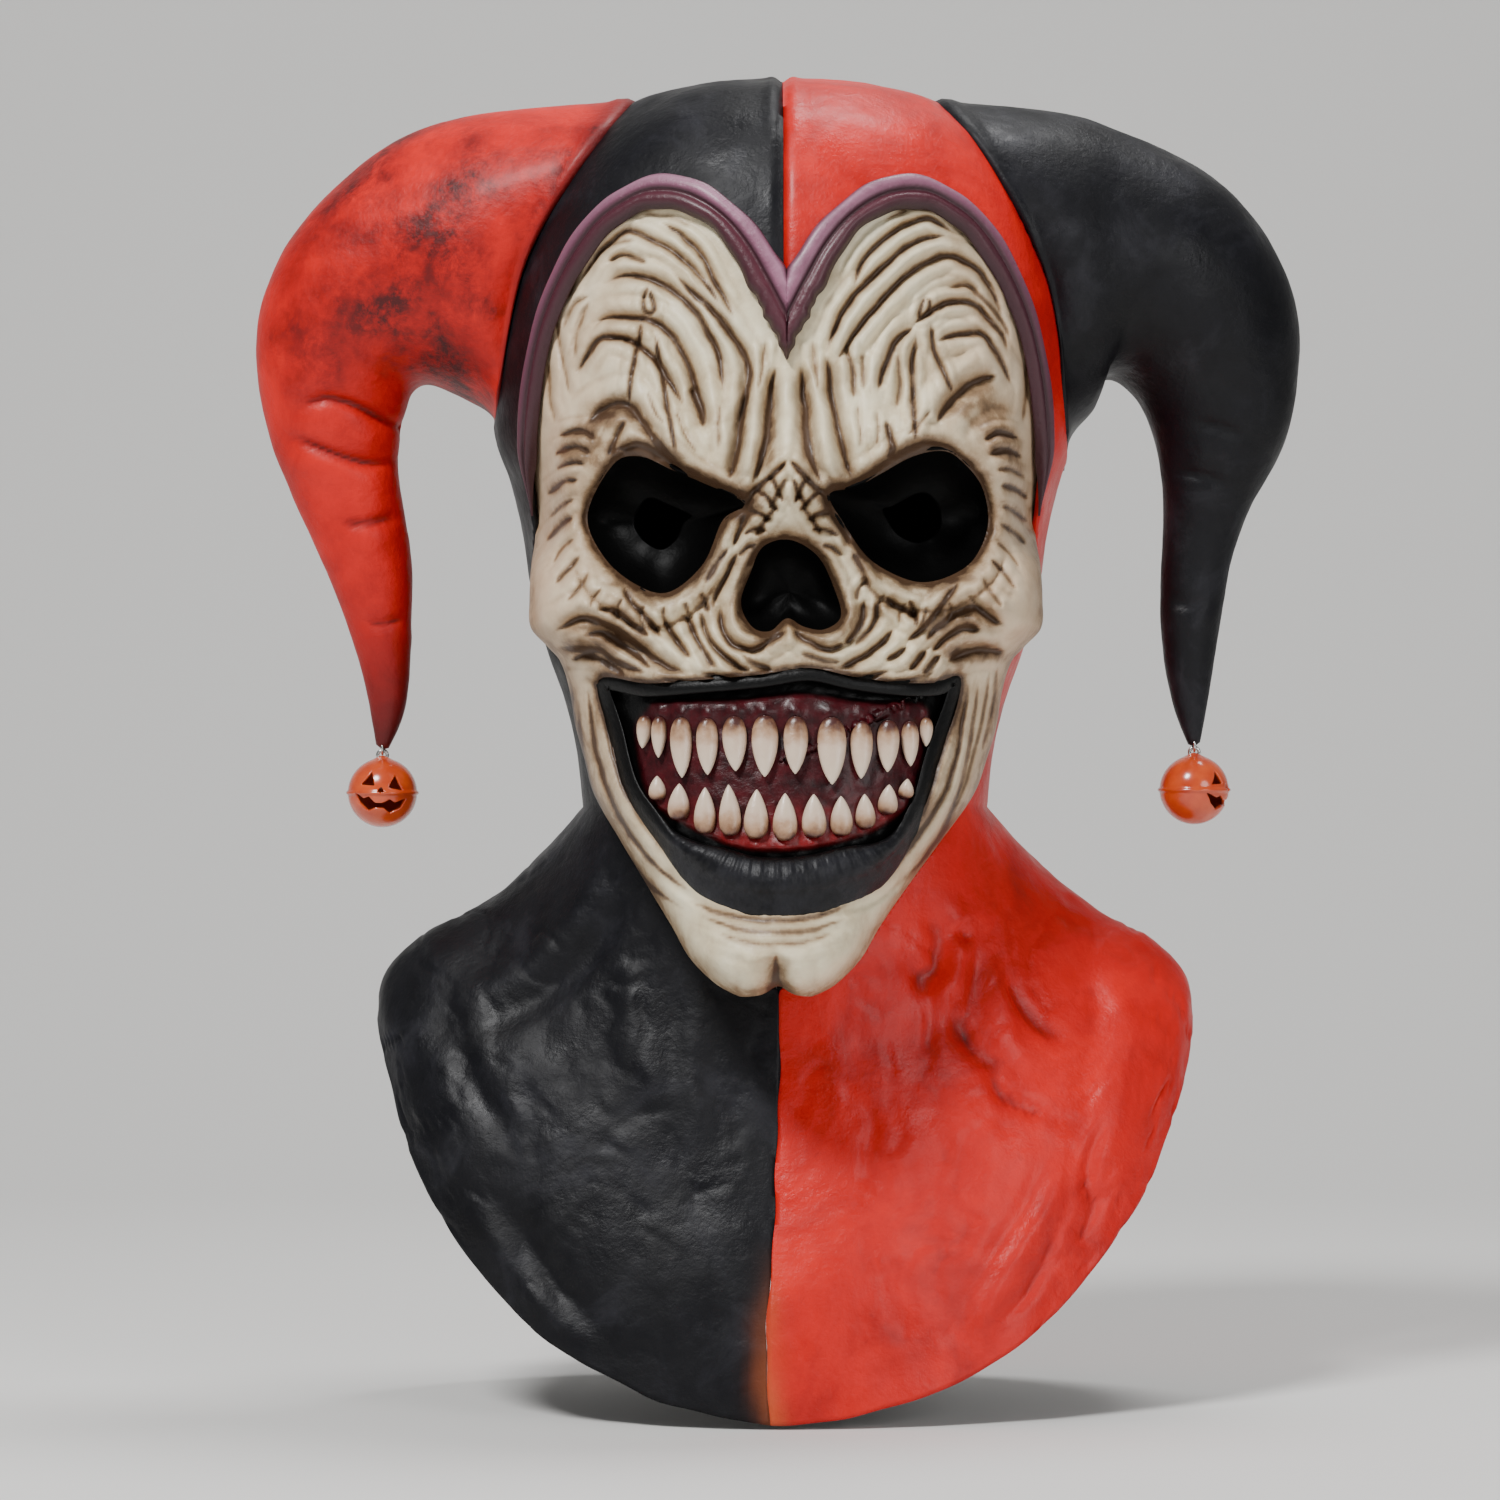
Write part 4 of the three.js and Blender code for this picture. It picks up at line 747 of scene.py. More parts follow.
    (-1.3, 1.2, 0.7, [(968, 684), (956, 757), (932, 816), (891, 870), (851, 900)]),
    (-1.2, 1.2, 0.6, [(979, 680), (966, 766), (942, 832), (906, 880)]),
    (-0.9, 1.0, 0.5, [(990, 668), (982, 720), (968, 776), (950, 820)]),
    (-0.9, 1.0, 0.4, [(998, 664), (992, 710), (982, 752)]),
    # between the lip and the chin
    (-1.4, 1.4, 0.6, [(690, 902), (724, 914), (757, 920), (811, 918), (851, 904)]),
    (-1.2, 1.4, 0.5, [(700, 916), (734, 928), (766, 932), (812, 930), (848, 918)]),
    (-1.1, 1.4, 0.4, [(716, 932), (744, 942), (772, 944), (806, 942), (836, 932)]),
    (-2.3, 2.8, 0.6, [(777, 954), (776, 970), (776, 1000)]),
]

# Painted brown shade in the hollows: centre and reach in pixels, strength
SHADE_HOLLOWS = [
    (606, 416, 24, 14, 0.9),
    (984, 410, 24, 20, 0.8),
    (600, 640, 40, 12, 0.6),
    (972, 654, 34, 10, 0.8),
    (962, 622, 30, 14, 0.5),
    (776, 976, 12, 20, 0.4),
    (584, 448, 20, 20, 0.7),
    (1004, 452, 20, 24, 0.6),
    (560, 500, 16, 40, 0.3),
    (1020, 510, 16, 44, 0.3),
    (740, 506, 14, 12, 0.7),
    (838, 504, 14, 12, 0.7),
    (706, 604, 12, 12, 0.4),
    (880, 606, 14, 12, 0.4),
    (770, 430, 6, 40, 0.4),
    (806, 430, 6, 40, 0.4),
    (741, 430, 6, 30, 0.35),
]

FACE_COLUMNS = 290
RETURN_STEPS = 6
LOBE_GAIN = 1.3
CREASE_GAIN = 1.5
CHIN_NOTCH_X = -2.8
DEEPEST = 4.4
HIGHEST = 8

# Steps between the face's lines: down share where a stretch starts, step in millimetres
FACE_STEPS = [(0.115, 1.6), (0.16, 0.62), (0.685, 0.9), (0.993, 0.9)]


def face_downs():
    stretches = []
    for (start, step), (end, _) in zip(FACE_STEPS[:-1], FACE_STEPS[1:]):
        count = round((end - start) * HEAD_DROP / step)
        stretches.append(np.linspace(start, end, count, endpoint=False))
    return np.append(np.concatenate(stretches), FACE_STEPS[-1][0])


def face_points():
    """Points of the face skin row by row, and the brown wash and painted shade that lie in its creases,
    hollows and round its openings.
    """
    down = face_downs()
    w = np.linspace(-1, 1, FACE_COLUMNS)
    share = 1.1 * w - 0.1 * w**9
    z = np.repeat(-down[:, None] * HEAD_DROP, FACE_COLUMNS, 1)
    half = column(FACE_ROWS, down, 1)[:, None] * HEAD_HALF
    x = face_middle(z) + share[None, :] * half
    y = face_front(x, z)
    px, pz = x.ravel(), z.ravel()
    flat = np.column_stack([px, 0 * px, pz])
    jitter = wave(flat, 7, 3.0)
    waver = wave(flat, 4, 9.0)
    rise = np.zeros(px.size)
    wash_and_shade = np.zeros(px.size)
    for high, width, brown, pixels in STROKES:
        line = open_curve(from_photo(pixels, face_front), 5 * len(pixels))
        reach = 4 * width + 3
        near = near_line(px, pz, line, reach)
        away, along = to_line(px[near] + 0.5 * jitter[near], pz[near] + 0.4 * waver[near], line)
        if high > 0:
            fade = smooth(along, -0.25, 0.35) * (1 - smooth(along, 0.65, 1.25))
            rise[near] += LOBE_GAIN * high * fade * bump(away, width)
            continue
        thin = mix(0.55, 1.0, smooth(along, 0, 0.3) * (1 - smooth(along, 0.7, 1.0)))
        fade = smooth(along, -0.04, 0.14) * (1 - smooth(along, 0.86, 1.04))
        shoulder = 0.5 * bump(away - 2.3 * width, 1.3 * width)
        beside = 0.22 * bump(away - 4.3 * width, 0.6 * width)
        rise[near] += CREASE_GAIN * high * fade * (bump(away, width * thin) - shoulder + beside)
        core = 0.7 * min(width, 1.3) * thin
        # Brown wash in the crease's line, with painted shade spread wider beside it
        stroke_wash_and_shade = bump(away, core) + 0.42 * bump(away, 2.2 * width) + beside
        wash_and_shade[near] = np.maximum(wash_and_shade[near], brown * fade * stroke_wash_and_shade)
    # Painted shade in the hollows, added to the wash
    for cx, cz, rx, rz, strength in SHADE_HOLLOWS:
        place = from_photo([(cx, cz)], face_front)[0]
        reach = np.hypot((px - place[0]) / (rx * PIXEL_MM), (pz - place[1]) / (rz * PIXEL_MM))
        wash_and_shade += strength * np.exp(-reach**2) * (0.8 + 0.5 * waver)
    rim = nearest(px, pz, DARK_LINES)
    mouth = outside(px, pz, MOUTH_LINE)
    edge = outside(px, pz, window_line())
    low = smooth(-pz / HEAD_DROP, 0.78, 0.84)
    lip = lip_width(pz)
    rise = rise * smooth(-edge, 0.5, 6) * mix(1, smooth(mouth - lip, -1, 3.5), low)
    rise = np.where(rise < 0, -DEEPEST * np.tanh(-rise / DEEPEST), HIGHEST * np.tanh(rise / HIGHEST))
    # Painted shade: the deeper a crease, the darker the wash
    wash_and_shade = np.maximum(wash_and_shade, 0.45 * smooth(-rise, 0.4, 3.2))
    y = y.ravel() - rise + 2.2 * low * (1 - smooth(mouth - 0.75 * lip, -1.5, 1.0))
    y = y + 3.0 * (1 - smooth(rim, 0, 3.4)) ** 2 - 1.2 * bump(rim - 4.4, 2.4)
    y = y + 1.4 * (1 - smooth(mouth, 0, 3)) ** 2 - 0.8 * bump(mouth - 4.5, 2.5)
    # Painted shade round the sockets and nose, round the mouth and under the trim's edge
    wash_and_shade = wash_and_shade + (0.75 + 0.4 * waver) * bump(rim, 1.7) + 0.5 * bump(rim, 5.5)
    wash_and_shade = wash_and_shade + 0.7 * bump(mouth, 1.2) + 0.4 * bump(mouth, 4)
    wash_and_shade = wash_and_shade + 0.5 * bump(edge, 3.5) + 0.06 * waver
    y = y + 0.14 * wave(flat, 2.0, 1.0) + 0.4 * wave(flat, 10, 5.0)
    return x, y.reshape(x.shape), z, wash_and_shade.reshape(x.shape)


def build_face():
    """Bone skin with its creases, its edges turned back to the hood."""
    x, y, z, wash_and_shade = face_points()
    edge_back = np.minimum(hood_front(x[:, [0, -1]], z[:, [0, -1]]) + 8, -6)
    turned = []
    for side, k in ((0, 0), (1, -1)):
        steps = np.arange(1, RETURN_STEPS + 1) / RETURN_STEPS
        steps = steps[::-1] if side == 0 else steps
        edge = x[:, k][:, None]
        down = np.clip(-z[:, k] / HEAD_DROP, 0, HOOD_ROWS[-1][0])
        hood_half = np.abs(head_point(down, np.full(len(down), math.pi / 2))[:, 0])[:, None] - 2.5
        sx = mix(edge, np.sign(edge) * np.minimum(np.abs(edge), hood_half), steps[None, :] ** 2)
        sz = np.repeat(z[:, k][:, None], RETURN_STEPS, 1)
        start = y[:, k][:, None]
        back = np.maximum(edge_back[:, side][:, None], start)
        sy = mix(start, back, steps[None, :])
        sw = np.repeat(wash_and_shade[:, k][:, None], RETURN_STEPS, 1)
        turned.append((sx, sy, sz, sw))
    x, y, z, wash_and_shade = (np.hstack([turned[0][i], mid, turned[1][i]]) for i, mid in enumerate((x, y, z, wash_and_shade)))
    under = []
    last = np.maximum(hood_front(x[-1], z[-1]) + 8, y[-1])
    for step in np.arange(1, RETURN_STEPS + 1) / RETURN_STEPS:
        under.append((x[-1], mix(y[-1], last, step), z[-1] + 0.5 * step, wash_and_shade[-1]))
    x, y, z, wash_and_shade = (np.vstack([mid] + [row[i] for row in under]) for i, mid in enumerate((x, y, z, wash_and_shade)))
    beside = x - CHIN_NOTCH_X
    notch = 2.4 * bump(beside, 3.4) - 1.2 * bump(np.abs(beside) - 12, 8)
    z = z + smooth(-z / HEAD_DROP, 0.95, 0.99) * notch
    points = np.column_stack([x.ravel(), y.ravel(), z.ravel()])
    faces = grid_faces(*x.shape)[:, ::-1]
    values = nearest(points[:, 0], points[:, 2], OPENING_LINES)
    side = np.clip(np.abs(points[:, 0] - face_middle(points[:, 2])) / 80, 0, 1)
    points, faces, extras = clipped(points, faces, values, (wash_and_shade.ravel(), side))
    points, faces, (wash_and_shade, side) = tidy(points, faces, extras)
    obj = make_object("skull_face_skin", points, faces, {"wash_and_shade": wash_and_shade, "side": side})
    add_edge_wall(obj, WALL)
    return obj


def add_edge_wall(obj, depth):
    """Turns the open edges of a skin back by a wall's thickness."""
    mesh = bmesh.new()
    mesh.from_mesh(obj.data)
    edges = [edge for edge in mesh.edges if edge.is_boundary]
    made = bmesh.ops.extrude_edge_only(mesh, edges=edges)
    for vert in [item for item in made["geom"] if isinstance(item, bmesh.types.BMVert)]:
        vert.co.y += depth * MM
    mesh.to_mesh(obj.data)
    mesh.free()
    obj.data.polygons.foreach_set("use_smooth", [True] * len(obj.data.polygons))


def build_face_inside():
    """Plain inner side of the face skin, one wall behind its outside."""
    down = np.linspace(FACE_ROWS[0][0] + 0.01, FACE_ROWS[-1][0] - 0.01, 110)
    columns = 60
    share = np.sin(np.linspace(-1, 1, columns) * math.pi / 2)
    z = np.repeat(-down[:, None] * HEAD_DROP, columns, 1)
    half = column(FACE_ROWS, down, 1)[:, None] * HEAD_HALF - WALL
    x = face_middle(z) + share[None, :] * half
    y = face_front(x, z) + WALL + 3.2
    points = np.column_stack([x.ravel(), y.ravel(), z.ravel()])
    values = nearest(points[:, 0], points[:, 2], OPENING_LINES) - 0.5
    points, faces, _ = clipped(points, grid_faces(*x.shape), values)
    points, faces, _ = tidy(points, faces)
    return make_object("skull_face_inside", points, faces)


EYE_LEFT_LINE = closed_curve(shares(LEFT_EYE), 90)
EYE_RIGHT_LINE = closed_curve(shares(RIGHT_EYE), 90)
NOSE_LINE = closed_curve(shares(NOSE), 80)
MOUTH_LINE = closed_curve(shares(MOUTH), 180)
DARK_LINES = (EYE_LEFT_LINE, EYE_RIGHT_LINE, NOSE_LINE)
OPENING_LINES = (*DARK_LINES, MOUTH_LINE)


# Folds of the neck and bib, read off the photograph: height and width in millimetres, points in pixels
FOLDS = [
    (-3.0, 3.0, [(958, 926), (966, 936), (976, 940)]),
    (-1.2, 2.6, [(955, 1016), (966, 1030), (970, 1046)]),
    (-1.3, 2.6, [(905, 960), (925, 985), (935, 1020), (928, 1060)]),
    (-2.0, 2.4, [(1000, 960), (1020, 1000), (1046, 1030), (1078, 1046)]),
    (-1.8, 2.2, [(985, 1070), (1010, 1100), (1050, 1116)]),
    (-1.8, 2.2, [(1108, 1120), (1090, 1170), (1096, 1210), (1080, 1250)]),
    (-1.6, 2.0, [(1062, 1220), (1044, 1262), (1020, 1300), (1000, 1312)]),
    (-1.4, 2.0, [(850, 1090), (872, 1120), (868, 1170), (884, 1200)]),
    (2.4, 5.0, [(948, 900), (962, 940), (958, 975), (934, 1010)]),
    (-2.8, 5.0, [(930, 905), (944, 938), (940, 968), (918, 996)]),
    (-1.9, 4.5, [(982, 936), (978, 976), (984, 1016), (1004, 1046)]),
    (2.2, 5.0, [(1010, 948), (1002, 990), (1006, 1030), (1026, 1060)]),
    (-1.8, 4.0, [(946, 1010), (964, 1036), (990, 1060), (1022, 1078)]),
    (1.6, 5.0, [(1070, 1150), (1052, 1196), (1020, 1246), (984, 1298), (962, 1350)]),
    (-1.6, 4.0, [(1050, 1160), (1030, 1204), (998, 1252), (972, 1300), (955, 1352)]),
    (1.4, 6.0, [(1120, 960), (1130, 1030), (1118, 1110), (1088, 1180)]),
    (-1.4, 5.0, [(1092, 950), (1100, 1020), (1090, 1090), (1066, 1150)]),
    (2.2, 6.0, [(600, 860), (580, 910), (550, 950), (500, 985), (450, 1010)]),
    (-2.2, 5.0, [(620, 880), (604, 930), (574, 972), (526, 1008), (476, 1034)]),
    (1.6, 6.0, [(640, 960), (632, 1010), (640, 1060), (660, 1110)]),
    (2.0, 7.0, [(470, 1200), (500, 1250), (540, 1300), (585, 1345)]),
    (-2.0, 5.0, [(496, 1196), (526, 1244), (562, 1290), (604, 1330)]),
    (-1.4, 5.0, [(430, 985), (450, 1050), (486, 1110), (520, 1160)]),
    (1.2, 5.0, [(700, 1010), (694, 1080), (704, 1150)]),
]

# Depths, as y, at which the folds of the bib and the creases of the horns are read off the photograph
FOLD_DEPTH = -72.0
FOLD_REACH = 22
HORN_CREASE_DEPTH = -20.0

HOOD_COLUMNS = 300
CAP_LINES = 9
HEAD_LINES = 170
BIB_LINES = 120


def hood_grid():
    """Points of the hood's outside, ring by ring from the crown to the hem."""
    angle = (np.arange(HOOD_COLUMNS) + 0.5) / HOOD_COLUMNS * 2 * math.pi
    dense = np.linspace(0, HOOD_ROWS[-1][0], 600)
    profile = np.column_stack([column(HOOD_ROWS, dense, 2) * HEAD_FRONT, dense * HEAD_DROP])
    along = np.concatenate([[0], np.cumsum(np.linalg.norm(np.diff(profile, axis=0), axis=1))])
    downs = np.interp(np.linspace(0, along[-1], HEAD_LINES), along, dense)
    first = head_point(np.zeros(HOOD_COLUMNS), angle)
    rings = []
    for share in np.linspace(0, 1, CAP_LINES + 1)[:-1]:
        reach = max(share, 0.004)
        rings.append(np.column_stack([first[:, 0] * reach, first[:, 1] * reach,
                                      np.full(HOOD_COLUMNS, WALL * (1 - reach**2))]))
    for down in downs:
        rings.append(head_point(np.full(HOOD_COLUMNS, down), angle))
    for drop in np.linspace(0, 1, BIB_LINES + 1)[1:]:
        rings.append(bib_point(np.full(HOOD_COLUMNS, drop), angle))
    return np.array(rings)


def grid_normals(grid, around=True):
    """Outward directions of a grid of rings that turn from ahead to +X, or of a plain grid."""
    if around:
        beside = np.roll(grid, -1, 1) - np.roll(grid, 1, 1)
    else:
        beside = np.gradient(grid, axis=1)
    along = np.gradient(grid, axis=0)
    normal = np.cross(along, beside)
    return normal / np.maximum(np.linalg.norm(normal, axis=2, keepdims=True), 1e-9)


def split_line(z):
    """Where the two colours meet, as x."""
    down = -z / HEAD_DROP
    wander = 0.5 * np.sin(down * 31) + 0.3 * np.sin(down * 83)
    lean = 1.4 * smooth(down, 0.85, 1.0) + 3.6 * smooth(down, 1.12, 1.36)
    return -1 - lean + wander * smooth(down, 1.0, 1.1)


def hood_shape():
    """Points of the hood with seam, folds, creases and wavy hem, and the height of that relief."""
    grid = hood_grid()
    normals = grid_normals(grid)
    flat = grid.reshape(-1, 3)
    x, y, z = flat.T
    height = np.zeros(len(flat))
    down = -z / HEAD_DROP
    head = 1 - smooth(down, 0.72, 0.86)
    off = x - split_line(z)
    seam = bump(off, 1.5)
    height -= seam * mix(0.25, 1.3, head)
    height += 0.55 * head * bump(np.abs(off) - 3.6, 1.8)
    ahead = y < 4
    px, pz = x[ahead], z[ahead]
    front = np.zeros(px.size)
    for high, wide, pixels in FOLDS:
        line = open_curve(from_photo(pixels, at_depth(FOLD_DEPTH)), 5 * len(pixels))
        near = near_line(px, pz, line, FOLD_REACH)
        away, along = to_line(px[near], pz[near], line)
        fade = smooth(along, -0.1, 0.3) * (1 - smooth(along, 0.7, 1.1))
        front[near] += high * fade * bump(away, wide)
    height[ahead] += front
    cloth = smooth(down, 0.78, 0.95)
    height += cloth * 1.7 * wave(flat * (1, 1, 0.5), 34, 2.0)
    height += cloth * 0.45 * wave(flat * (1.3, 1, 0.5), 12, 4.0)
    height += 0.12 * wave(flat, 5, 6.0)
    crinkle = np.abs(wave(flat * (1.2, 1, 0.45), 9, 8.0) + 0.4 * wave(flat * (1, 1, 0.5), 4.5, 5.0))
    height += cloth * 0.45 * (0.35 - crinkle)
    creases = np.abs(wave(flat * (1.3, 1, 0.5), 26, 12.0) + 0.3 * wave(flat, 9, 3.0))
    height -= cloth * 0.7 * bump(creases, 0.05)
    keep = 1 - smooth(-z, 400, 440) * 0.6
    moved = flat + normals.reshape(-1, 3) * (height * keep)[:, None]
    place = np.repeat(np.arange(len(grid)) / (len(grid) - 1), HOOD_COLUMNS)
    moved[:, 2] += 1.4 * wave(flat * (1, 1, 0), 17, 5.0) * smooth(place, 0.9, 1.0)
    return moved, grid.shape[:2], height


WINDOW_BACK = -7.4
SEAM_LAP = 0.4


def window_line():
    """The hood's opening for the face, in the front view."""
    right = shares([row[:2] for row in TRIM_ROWS])
    left = shares([row[:2] for row in TRIM_ROWS[1:]], -1)
    jaw = [row for row in FACE_ROWS if row[5] < 1]
    z = np.array([-row[0] * HEAD_DROP for row in jaw])
    half = np.array([row[1] * HEAD_HALF for row in jaw])
    edge_right = np.column_stack([face_middle(z) + half, z])
    edge_left = np.column_stack([face_middle(z) - half, z])
    return np.vstack([right, edge_right, edge_left[::-1], left[::-1]])


def horn_region(seam, side):
    """Front view outline of everything beyond a horn's seam."""
    line = shares(seam, side)
    far = side * 300
    clear = side * (HEAD_HALF + 1)
    high = HEAD_HALF
    low = -HORN_DROP - 10
    rest = [(clear, line[-1][1] - 8), (clear, low), (far, low), (far, high)]
    return np.vstack([[(line[0][0] - side * 2, high)], open_curve(line, 40), rest])


def build_hood():
    """Black and red half of hood and bib, cut for the face and horns, with an orange smear on the split."""
    points, (rows, columns), height = hood_shape()
    faces = grid_faces(rows, columns, around=True)[:, ::-1]
    x, y, z = points.T
    window = np.where(y < WINDOW_BACK, outside(x, z, window_line()) - 0.3, 9.0)
    cut = np.minimum(window, outside(x, z, horn_region(RED_SEAM, -1)) + SEAM_LAP)
    cut = np.minimum(cut, outside(x, z, horn_region(BLACK_SEAM, 1)) + SEAM_LAP)
    off = x - split_line(z)
    made = []
    for name, side in (("hood_black_skin", -1), ("hood_red_skin", 1)):
        values = np.minimum(cut, side * off - 0.05)
        p, f, extras = clipped(points, faces, values, (height,))
        p, f, (high,) = tidy(p, f, extras)
        across, depth, up = p.T
        uneven = 0.7 + 0.6 * wave(p * (1, 1, 0.4), 6, 2.0)
        smear = bump(across - split_line(up), 4.5) * smooth(-up, 375, 425) * (depth < 0) * uneven
        obj = make_object(name, p, f, {"height": high, "smear": np.clip(smear, 0, 1)})
        thicken(obj, WALL)
        made.append(obj)
    return made


HORN_AROUND = 108
HORN_LINES = 150
HORN_SMOOTHINGS = 40
HORN_LENGTH = 340


def horn_start(seam):
    """Middle of the seam's line, as x on the right and z."""
    line = shares(seam)
    places = np.column_stack([np.arange(len(line)), line])
    order = (1 - np.cos(np.arange(12) / 12 * 2 * math.pi)) / 2 * (len(line) - 1)
    return column(places, order, 1).mean(), column(places, order, 2).mean()


def horn_centres(seam, rows, side):
    start_x, start_z = horn_start(seam)
    return np.array([(side * mix(start_x, HORN_REACH, out), mix(start_z, -HORN_DROP, down))
                     for out, down, _ in rows])


def horn_grid(seam, rows, side):
    """Rings of a horn from its seam on the hood to its tip, all in even steps."""
    angle = np.arange(HORN_AROUND) / HORN_AROUND * 2 * math.pi
    line = shares(seam, side)
    places = np.column_stack([np.arange(len(line)), line])
    order = (1 - np.cos(angle)) / 2 * (len(line) - 1)
    x = column(places, order, 1)
    z = column(places, order, 2)
    first_half = np.sin(angle) > 0
    y = np.where(first_half, hood_front(x, z), hood_back(x, z))
    y = np.where(np.abs(np.sin(angle)) < 1e-6, 0, y)
    base = np.column_stack([x, y, z])
    centres = horn_centres(seam, rows, side)
    start_x, start_z = horn_start(seam)
    stations = [base]
    for i, row in enumerate(rows):
        before = np.array([side * start_x, start_z]) if i == 0 else centres[i - 1]
        after = centres[min(i + 1, len(rows) - 1)]
        ahead = (after - before) / np.linalg.norm(after - before)
        outward = np.array([-side * ahead[1], side * ahead[0]])
        radius = row[2] * HORN_BASE / 2
        stations.append(np.column_stack([
            centres[i][0] + outward[0] * radius * np.cos(angle),
            -radius * HORN_FLAT * np.sin(angle),
            centres[i][1] + outward[1] * radius * np.cos(angle)]))
    stations = np.array(stations)
    middles = stations.mean(1)
    steps = np.linalg.norm(np.diff(middles, axis=0), axis=1)
    steps[0] = max(steps[0], 14)
    keys = np.concatenate([[0], np.cumsum(steps)])
    wanted = np.linspace(0, keys[-1], HORN_LINES)
    grid = np.zeros((HORN_LINES, HORN_AROUND, 3))
    for j in range(HORN_AROUND):
        for axis in range(3):
            rows_j = np.column_stack([keys, stations[:, j, axis]])
            grid[:, j, axis] = column(rows_j, wanted, 1)
    for _ in range(HORN_SMOOTHINGS):
        grid[1:-1] = (grid[:-2] + 2 * grid[1:-1] + grid[2:]) / 4
    return grid


# Creases across the horns: side of the mask, depth and width in millimetres, points in pixels
HORN_CREASES = [
    (-1, 2.6, 3.0, [(296, 410), (322, 399), (352, 404), (378, 416), (402, 428)]),
    (-1, 2.4, 3.0, [(286, 436), (312, 446), (340, 456), (368, 462), (392, 458)]),
    (-1, 1.4, 3.0, [(339, 523), (366, 522), (395, 515)]),
    (-1, 1.0, 2.6, [(360, 620), (382, 624), (404, 616)]),
    (1, 1.4, 3.0, [(1196, 424), (1220, 428), (1246, 438)]),
    (1, 1.2, 3.0, [(1176, 470), (1204, 476), (1232, 486)]),
    (1, 1.0, 2.6, [(1172, 600), (1194, 604), (1214, 598)]),
]


def build_horn(name, seam, rows, side):
    """Hollow horn with its rolled seam and creases, closed at the tip."""
    grid = horn_grid(seam, rows, side)
    normals = grid_normals(grid)
    if side < 0:
        normals = -normals
    check = ((grid - grid.mean(1, keepdims=True)) * normals).sum(2).mean()
    if check < 0:
        normals = -normals
    flat = grid.reshape(-1, 3)
    x, y, z = flat.T
    height = np.zeros(len(flat))
    crease_shade = np.zeros(len(flat))
    ahead = y < 0
    for which, deep, wide, pixels in HORN_CREASES:
        if which != side:
            continue
        line = open_curve(from_photo(pixels, at_depth(HORN_CREASE_DEPTH)), 12)
        away, along = to_line(x[ahead], z[ahead], line)
        fade = smooth(along, -0.1, 0.3) * (1 - smooth(along, 0.7, 1.1))
        height[ahead] += fade * deep * (-bump(away, 0.5 * wide) + 0.35 * bump(away - 2.2 * wide, 1.4 * wide))
        # Painted shade: a dark line along each crease
        crease_shade[ahead] = np.maximum(crease_shade[ahead], 0.7 * fade * bump(away, 0.45 * wide))
    along = np.repeat(np.linspace(0, 1, HORN_LINES), HORN_AROUND)
    soft = smooth(along, 0.02, 0.2)
    tip = 1 - 0.8 * smooth(along, 0.6, 1.0)
    height += soft * tip * (1.3 * wave(flat, 42, 3.0 + side) + 0.4 * wave(flat, 14, 1.0))
    height += 0.1 * wave(flat, 4.5, 7.0)
    rolled = along * HORN_LENGTH
    height += 1.2 * bump(rolled - 3.5, 2.2) - 0.9 * (1 - smooth(rolled, 0, 2.2))
    seam_end = shares(seam, side)[-1]
    height *= smooth(np.hypot(x - seam_end[0], z - seam_end[1]), 5, 14)
    points = flat + normals.reshape(-1, 3) * height[:, None]
    faces = grid_faces(HORN_LINES, HORN_AROUND, around=True)
    tip_point = points[-HORN_AROUND:].mean(0) + (0, 0, -1.2)
    points = np.vstack([points, tip_point])
    last = (HORN_LINES - 1) * HORN_AROUND
    cap = [[last + j, last + (j + 1) % HORN_AROUND, len(points) - 1] for j in range(HORN_AROUND)]
    faces = [list(face) for face in faces] + cap
    sample = HORN_AROUND * 60
    if not looks_out(points, faces[sample], lambda a: normals.reshape(-1, 3)[sample]):
        faces = [face[::-1] for face in faces]
    along = np.append(along, 1.0)
    obj = make_object(name, points, faces, {"along": along, "crease_shade": np.append(crease_shade, 0.0)})
    thicken(obj, HORN_WALL)
    return obj


def sheet_from(grid, closed, outward):
    """Quads over a grid of rings, turned so that they face away from a point or line."""
    rows, columns = grid.shape[:2]
    faces = grid_faces(rows, columns, around=closed)
    points = grid.reshape(-1, 3)
    if not looks_out(points, faces[len(faces) // 2], outward):
        faces = faces[:, ::-1]
    return points, [list(face) for face in faces]


# Trim section across its width: share of the half width, height in millimetres
TRIM_SECTION = [
    (1.06, -1.4), (1.05, 0.4), (0.98, 1.5), (0.84, 2.1), (0.6, 2.5), (0.34, 2.5), (0.14, 2.1), (0.02, 1.3),
    (-0.1, 1.0), (-0.24, 1.5), (-0.44, 2.0), (-0.64, 1.9), (-0.84, 1.2), (-0.98, 0.1), (-1.06, -1.6),
    (-0.5, -1.5), (0.3, -1.4),
]
TRIM_HALF = 5.2


